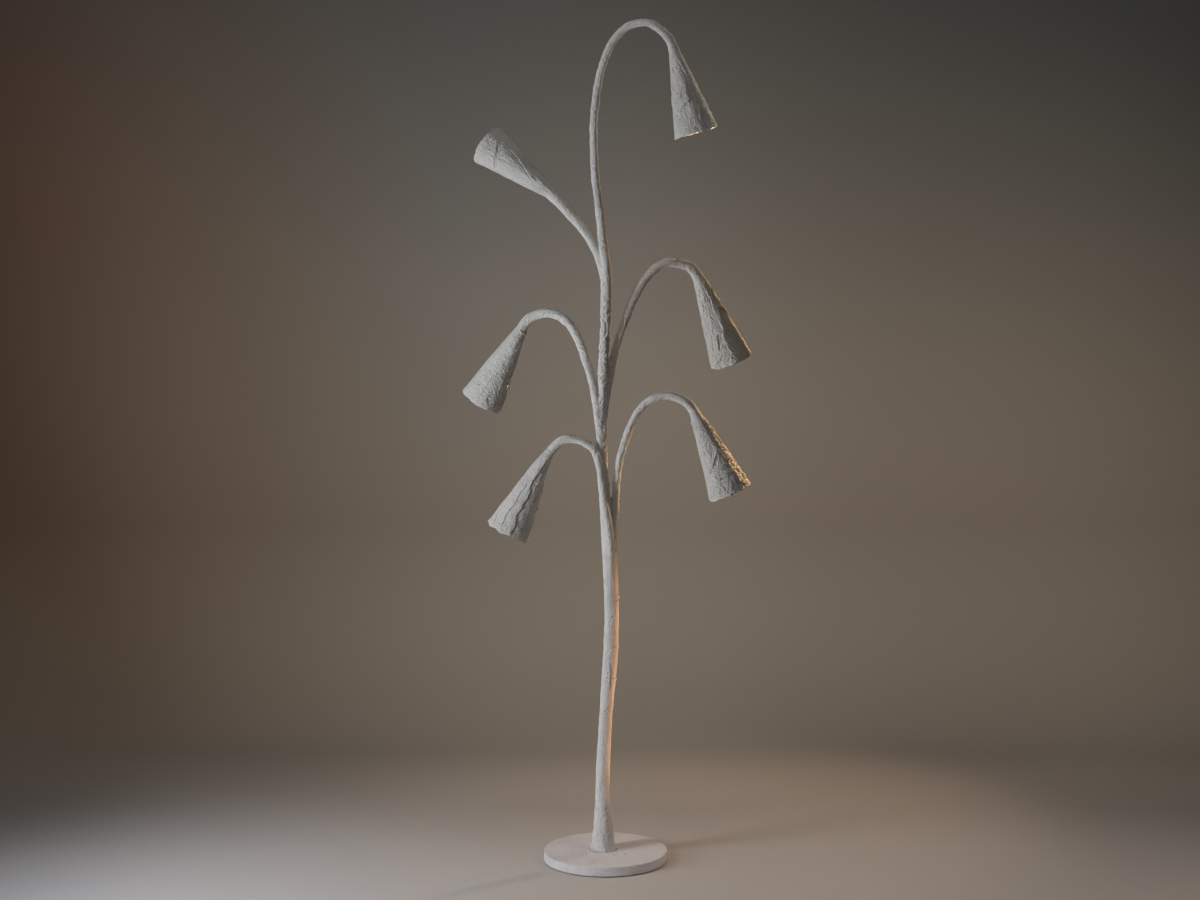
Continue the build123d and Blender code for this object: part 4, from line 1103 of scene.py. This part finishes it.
def metal(name, base, dark, rough, scale, aniso=0.0, metallic=1.0, brushed=(1, 1, 1)):
    m, nt, b = new_material(name)
    v = object_vec(nt)
    mp = nt.nodes.new("ShaderNodeMapping")
    mp.inputs["Scale"].default_value = brushed
    nt.links.new(v, mp.inputs["Vector"])
    n = noise_node(nt, mp.outputs[0], scale, 5.0, 0.6)
    nt.links.new(ramp_node(nt, n, [(0.3, dark), (0.65, base)]), b.inputs["Base Color"])
    nt.links.new(map_range(nt, n, 0.3, 0.7, rough + 0.12, rough - 0.08), b.inputs["Roughness"])
    b.inputs["Metallic"].default_value = metallic
    nt.links.new(bump(nt, noise_node(nt, mp.outputs[0], scale * 4, 3.0), 0.08, 0.0004), b.inputs["Normal"])
    return m


def matte(name, base, dark, rough, scale, strength=0.2, dist=0.0006):
    m, nt, b = new_material(name)
    v = object_vec(nt)
    n = noise_node(nt, v, scale, 4.0, 0.6)
    nt.links.new(ramp_node(nt, n, [(0.3, dark), (0.7, base)]), b.inputs["Base Color"])
    nt.links.new(map_range(nt, n, 0.3, 0.7, rough + 0.08, rough - 0.08), b.inputs["Roughness"])
    nt.links.new(bump(nt, noise_node(nt, v, scale * 3, 3.0), strength, dist), b.inputs["Normal"])
    return m


steel_dark = metal("black_oxide_steel", (0.10, 0.10, 0.105), (0.05, 0.05, 0.052), 0.5, 60)
steel_tube = metal("drawn_steel", (0.52, 0.52, 0.53), (0.34, 0.34, 0.35), 0.32, 90, brushed=(1, 1, 0.15))
steel_screw = metal("zinc_plated_steel", (0.66, 0.67, 0.68), (0.46, 0.47, 0.50), 0.30, 240)
wire_steel = metal("galvanised_wire", (0.58, 0.58, 0.57), (0.36, 0.36, 0.35), 0.38, 420)
brass = metal("turned_brass", (0.78, 0.58, 0.28), (0.55, 0.38, 0.16), 0.28, 300)
cap_metal = metal("nickel_cap", (0.70, 0.69, 0.66), (0.50, 0.49, 0.46), 0.25, 260)
porcelain = matte("holder_porcelain", (0.83, 0.82, 0.79), (0.74, 0.73, 0.69), 0.32, 120, 0.06, 0.0003)
terminal = matte("terminal_nylon", (0.86, 0.85, 0.80), (0.76, 0.75, 0.70), 0.45, 140, 0.1, 0.0003)
rubber = matte("grommet_rubber", (0.045, 0.045, 0.047), (0.022, 0.022, 0.023), 0.62, 220, 0.25, 0.0003)
flex_pvc = matte("flex_sheath", (0.72, 0.71, 0.69), (0.60, 0.59, 0.57), 0.5, 160, 0.08, 0.0002)


def felt_material():
    m, nt, b = new_material("felt_grey")
    v = object_vec(nt)
    fibre = noise_node(nt, v, 850.0, 6.0, 0.7, 1.6)
    blotch = noise_node(nt, v, 45.0, 3.0)
    c = ramp_node(nt, fibre, [(0.30, (0.055, 0.054, 0.055)), (0.72, (0.20, 0.195, 0.195))])
    c = mix_rgb(nt, map_range(nt, blotch, 0.35, 0.65, 0.0, 0.35), c, (0.10, 0.098, 0.10))
    nt.links.new(c, b.inputs["Base Color"])
    b.inputs["Roughness"].default_value = 0.97
    b.inputs["Sheen Weight"].default_value = 0.25
    nt.links.new(bump(nt, fibre, 0.6, 0.0008), b.inputs["Normal"])
    return m


felt = felt_material()


def bulb_material():
    """Opal glass, lit: warm, its tint varying a little at random."""
    m, nt, b = new_material("opal_glass_lit")
    v = object_vec(nt)
    n = noise_node(nt, v, 60.0, 2.0)
    warm = ramp_node(nt, n, [(0.3, (1.0, 0.60, 0.27)), (0.7, (1.0, 0.66, 0.33))])
    nt.links.new(ramp_node(nt, n, [(0.3, (0.90, 0.86, 0.78)), (0.7, (0.95, 0.92, 0.86))]), b.inputs["Base Color"])
    b.inputs["Roughness"].default_value = 0.25
    b.inputs["Coat Weight"].default_value = 0.6
    b.inputs["Coat Roughness"].default_value = 0.08
    nt.links.new(warm, b.inputs["Emission Color"])
    b.inputs["Emission Strength"].default_value = 17.0
    return m


bulb_glass = bulb_material()


def finish_node(name, material):
    ob = nodes[name]
    ob.data.materials.clear()
    ob.data.materials.append(material)


finish_node("base_weight", steel_dark)
finish_node("base_felt", felt)
finish_node("base_cover_plate", steel_dark)
finish_node("cover_screws", steel_screw)
finish_node("terminal_block", terminal)
finish_node("cord_grommet", rubber)
finish_node("stem_flange", steel_tube)
finish_node("flange_screws", steel_screw)
finish_node("lamp_flexes", flex_pvc)
finish_node("holder_locknuts", brass)
finish_node("holder_nipples", brass)
finish_node("holder_contacts", brass)
for i in range(1, 7):
    finish_node("arm_%d_tube" % i, steel_tube)
    finish_node("shade_%d_frame" % i, wire_steel)
    finish_node("lampholder_%d" % i, porcelain)
    finish_node("bulb_%d_cap" % i, cap_metal)
    finish_node("bulb_%d_globe" % i, bulb_glass)

add_object("plaster_stem", stem_me, "stand", ["trunk_plaster"] + ["arm_%d_plaster" % i for i in range(1, 7)], plaster_stem)
for i in range(1, 7):
    add_object("shade_%d_skin" % i, shade_meshes[i], "stand", ["shade_%d_plaster" % i], plaster_shade)
add_object("base_skin", base_me, "stand", ["base_plaster"], plaster_base)


# --------------------------------------------------------- floor, wall, light
def stage_sweep():
    """Plain pale floor that curves up into a plain grey wall. The wall shows only from the front."""
    y1, rad, top = 0.95, 0.55, 4.6
    pts = [(-9.0, 0.0), (-4.0, 0.0), (-1.0, 0.0), (0.0, 0.0), (0.6, 0.0), (y1, 0.0)]
    pts += [(y1 + rad * math.sin(k), rad - rad * math.cos(k)) for k in np.linspace(0, math.pi / 2, 14)[1:]]
    pts += [(y1 + rad, 1.6), (y1 + rad, top)]
    xs = np.linspace(-5.5, 5.5, 9)
    co = np.array([(x * 1000, y * 1000, z * 1000) for y, z in pts for x in xs])
    n = len(xs)
    q = np.array([(j * n + k, j * n + k + 1, (j + 1) * n + k + 1, (j + 1) * n + k) for j in range(len(pts) - 1) for k in range(n - 1)])
    me = make_mesh("studio_sweep", co, q)
    ob = bpy.data.objects.new("studio_sweep", me)
    bpy.context.scene.collection.objects.link(ob)
    m, nt, b = new_material("studio_paper")
    v = object_vec(nt)
    sep = nt.nodes.new("ShaderNodeSeparateXYZ")
    nt.links.new(v, sep.inputs[0])
    up = map_range(nt, sep.outputs[2], 0.0, 0.5, 0.0, 1.0)
    back = map_range(nt, sep.outputs[1], 0.1, 1.25, 0.0, 1.0)
    n1 = noise_node(nt, v, 1.3, 3.0)
    n2 = noise_node(nt, v, 90.0, 3.0)
    # the floor carries painted light: cooler at the left, warmer in the middle and darker at the right; across the wall
    # the tone runs from red-brown at the left to brown at the right
    across = map_range(nt, sep.outputs[0], -1.5, 1.5, 0.0, 1.0)
    pale = ramp_node(nt, across, [(0.05, (0.55, 0.56, 0.59)), (0.5, (0.63, 0.59, 0.56)), (0.95, (0.54, 0.49, 0.455))])
    pale = mix_rgb(nt, map_range(nt, n2, 0.35, 0.65, 0.0, 0.12), pale, (0.42, 0.40, 0.38))
    wall = ramp_node(nt, across, [(0.0, (0.260, 0.178, 0.138)), (0.18, (0.240, 0.200, 0.162)), (0.36, (0.246, 0.236, 0.220)),
                                  (0.52, (0.292, 0.268, 0.240)), (0.72, (0.290, 0.250, 0.208)), (1.0, (0.310, 0.262, 0.210))])
    wall = mix_rgb(nt, map_range(nt, n1, 0.3, 0.7, 0.0, 0.16), wall, (0.20, 0.18, 0.155))
    # height plus a share of x, for the painted shade towards the top right
    painted_top_right_shade = nt.nodes.new("ShaderNodeMath")
    painted_top_right_shade.operation = "MULTIPLY_ADD"
    nt.links.new(sep.outputs[0], painted_top_right_shade.inputs[0])
    painted_top_right_shade.inputs[1].default_value = 0.32
    nt.links.new(sep.outputs[2], painted_top_right_shade.inputs[2])
    # painted shade: the wall darkens to a grey-green towards the top and the right
    wall = mix_rgb(nt, map_range(nt, painted_top_right_shade.outputs[0], 1.0, 2.35, 0.0, 0.9), wall, (0.115, 0.124, 0.120))
    # painted warm light: low on the wall the colour turns a lighter, warmer brown
    wall = mix_rgb(nt, map_range(nt, sep.outputs[2], 1.35, 0.55, 0.0, 0.5), wall, (0.330, 0.268, 0.214))
    c = mix_rgb(nt, back, pale, (0.44, 0.380, 0.325))
    c = mix_rgb(nt, up, c, wall)
    nt.links.new(c, b.inputs["Base Color"])
    b.inputs["Roughness"].default_value = 0.95
    b.inputs["Specular IOR Level"].default_value = 0.1
    # seen and shaded from its front only, so that no other view is blocked
    geo = nt.nodes.new("ShaderNodeNewGeometry")
    clear = nt.nodes.new("ShaderNodeBsdfTransparent")
    mx = nt.nodes.new("ShaderNodeMixShader")
    out = [x for x in nt.nodes if x.type == "OUTPUT_MATERIAL"][0]
    nt.links.new(geo.outputs["Backfacing"], mx.inputs[0])
    nt.links.new(b.outputs[0], mx.inputs[1])
    nt.links.new(clear.outputs[0], mx.inputs[2])
    nt.links.new(mx.outputs[0], out.inputs[0])
    me.materials.append(m)
    return ob


stage_sweep()


def area(name, loc, target, size, power, colour, size_y=None, spread=180.0):
    d = bpy.data.lights.new(name, "AREA")
    d.spread = math.radians(spread)
    d.energy, d.color, d.size = power, colour, size
    if size_y:
        d.shape, d.size_y = "RECTANGLE", size_y
    o = bpy.data.objects.new(name, d)
    bpy.context.scene.collection.objects.link(o)
    o.location = loc
    o.visible_camera = False
    o.rotation_euler = (Vector(target) - Vector(loc)).to_track_quat("-Z", "Y").to_euler()
    return o


def spot(name, loc, target, degrees, radius, power, colour, blend=1.0):
    d = bpy.data.lights.new(name, "SPOT")
    d.energy, d.color, d.shadow_soft_size = power, colour, radius
    d.spot_size, d.spot_blend = math.radians(degrees), blend
    o = bpy.data.objects.new(name, d)
    bpy.context.scene.collection.objects.link(o)
    o.location = loc
    o.rotation_euler = (Vector(target) - Vector(loc)).to_track_quat("-Z", "Y").to_euler()
    return o


area("key_softbox", (-1.80, -0.90, 0.60), (0.0, 0.0, 1.40), 0.35, 11.2, (0.955, 0.975, 1.0), 0.5, 120.0)
area("top_softbox", (-0.5, -0.6, 3.6), (0.0, 0.1, 0.0), 1.8, 10.2, (1.0, 0.965, 0.925))
area("wall_left", (-1.25, 0.25, 0.90), (-1.25, 1.5, 0.90), 0.9, 0.80, (1.0, 0.74, 0.55), 1.3, 115.0)
area("wall_middle", (0.0, 0.25, 0.85), (0.0, 1.5, 0.85), 0.9, 2.6, (1.0, 0.95, 0.86), 1.3, 115.0)
area("wall_right", (1.35, 0.25, 0.85), (1.35, 1.5, 0.85), 0.9, 1.80, (1.0, 0.93, 0.84), 1.3, 115.0)
spot("edge_high", (1.26, 1.06, 1.92), (0.21, 0.0, 1.72), 20.0, 0.04, 60.0, (1.0, 0.84, 0.60), 0.7)
spot("edge_line", (0.88, 1.42, 1.38), (0.44, 0.0, 1.36), 36.0, 0.03, 300.0, (1.0, 0.54, 0.18), 1.0)
spot("warm_trunk", (1.46, 0.20, 0.38), (0.0, 0.0, 0.42), 25.0, 0.05, 74.0, (1.0, 0.49, 0.22), 0.8)
spot("warm_shade", (1.50, 0.80, 1.22), (0.26, 0.0, 0.92), 11.5, 0.03, 150.0, (1.0, 0.60, 0.26), 0.5)
spot("floor_left", (-1.80, -1.15, 1.60), (-0.88, -0.76, 0.0), 70.0, 0.2, 86.0, (0.92, 0.95, 1.0))
spot("floor_right", (1.65, -1.10, 1.75), (0.98, -0.50, 0.0), 68.0, 0.3, 40.0, (1.0, 0.90, 0.84))
spot("floor_warm", (1.45, 1.15, 1.50), (0.08, 0.10, 0.0), 58.0, 0.06, 31.0, (1.0, 0.70, 0.47))

world = bpy.data.worlds.new("studio")
bpy.context.scene.world = world
world.use_nodes = True
bg = world.node_tree.nodes["Background"]
bg.inputs[0].default_value = (0.118, 0.105, 0.093, 1.0)
bg.inputs[1].default_value = 0.28
bpy.context.scene.view_settings.view_transform = "Standard"
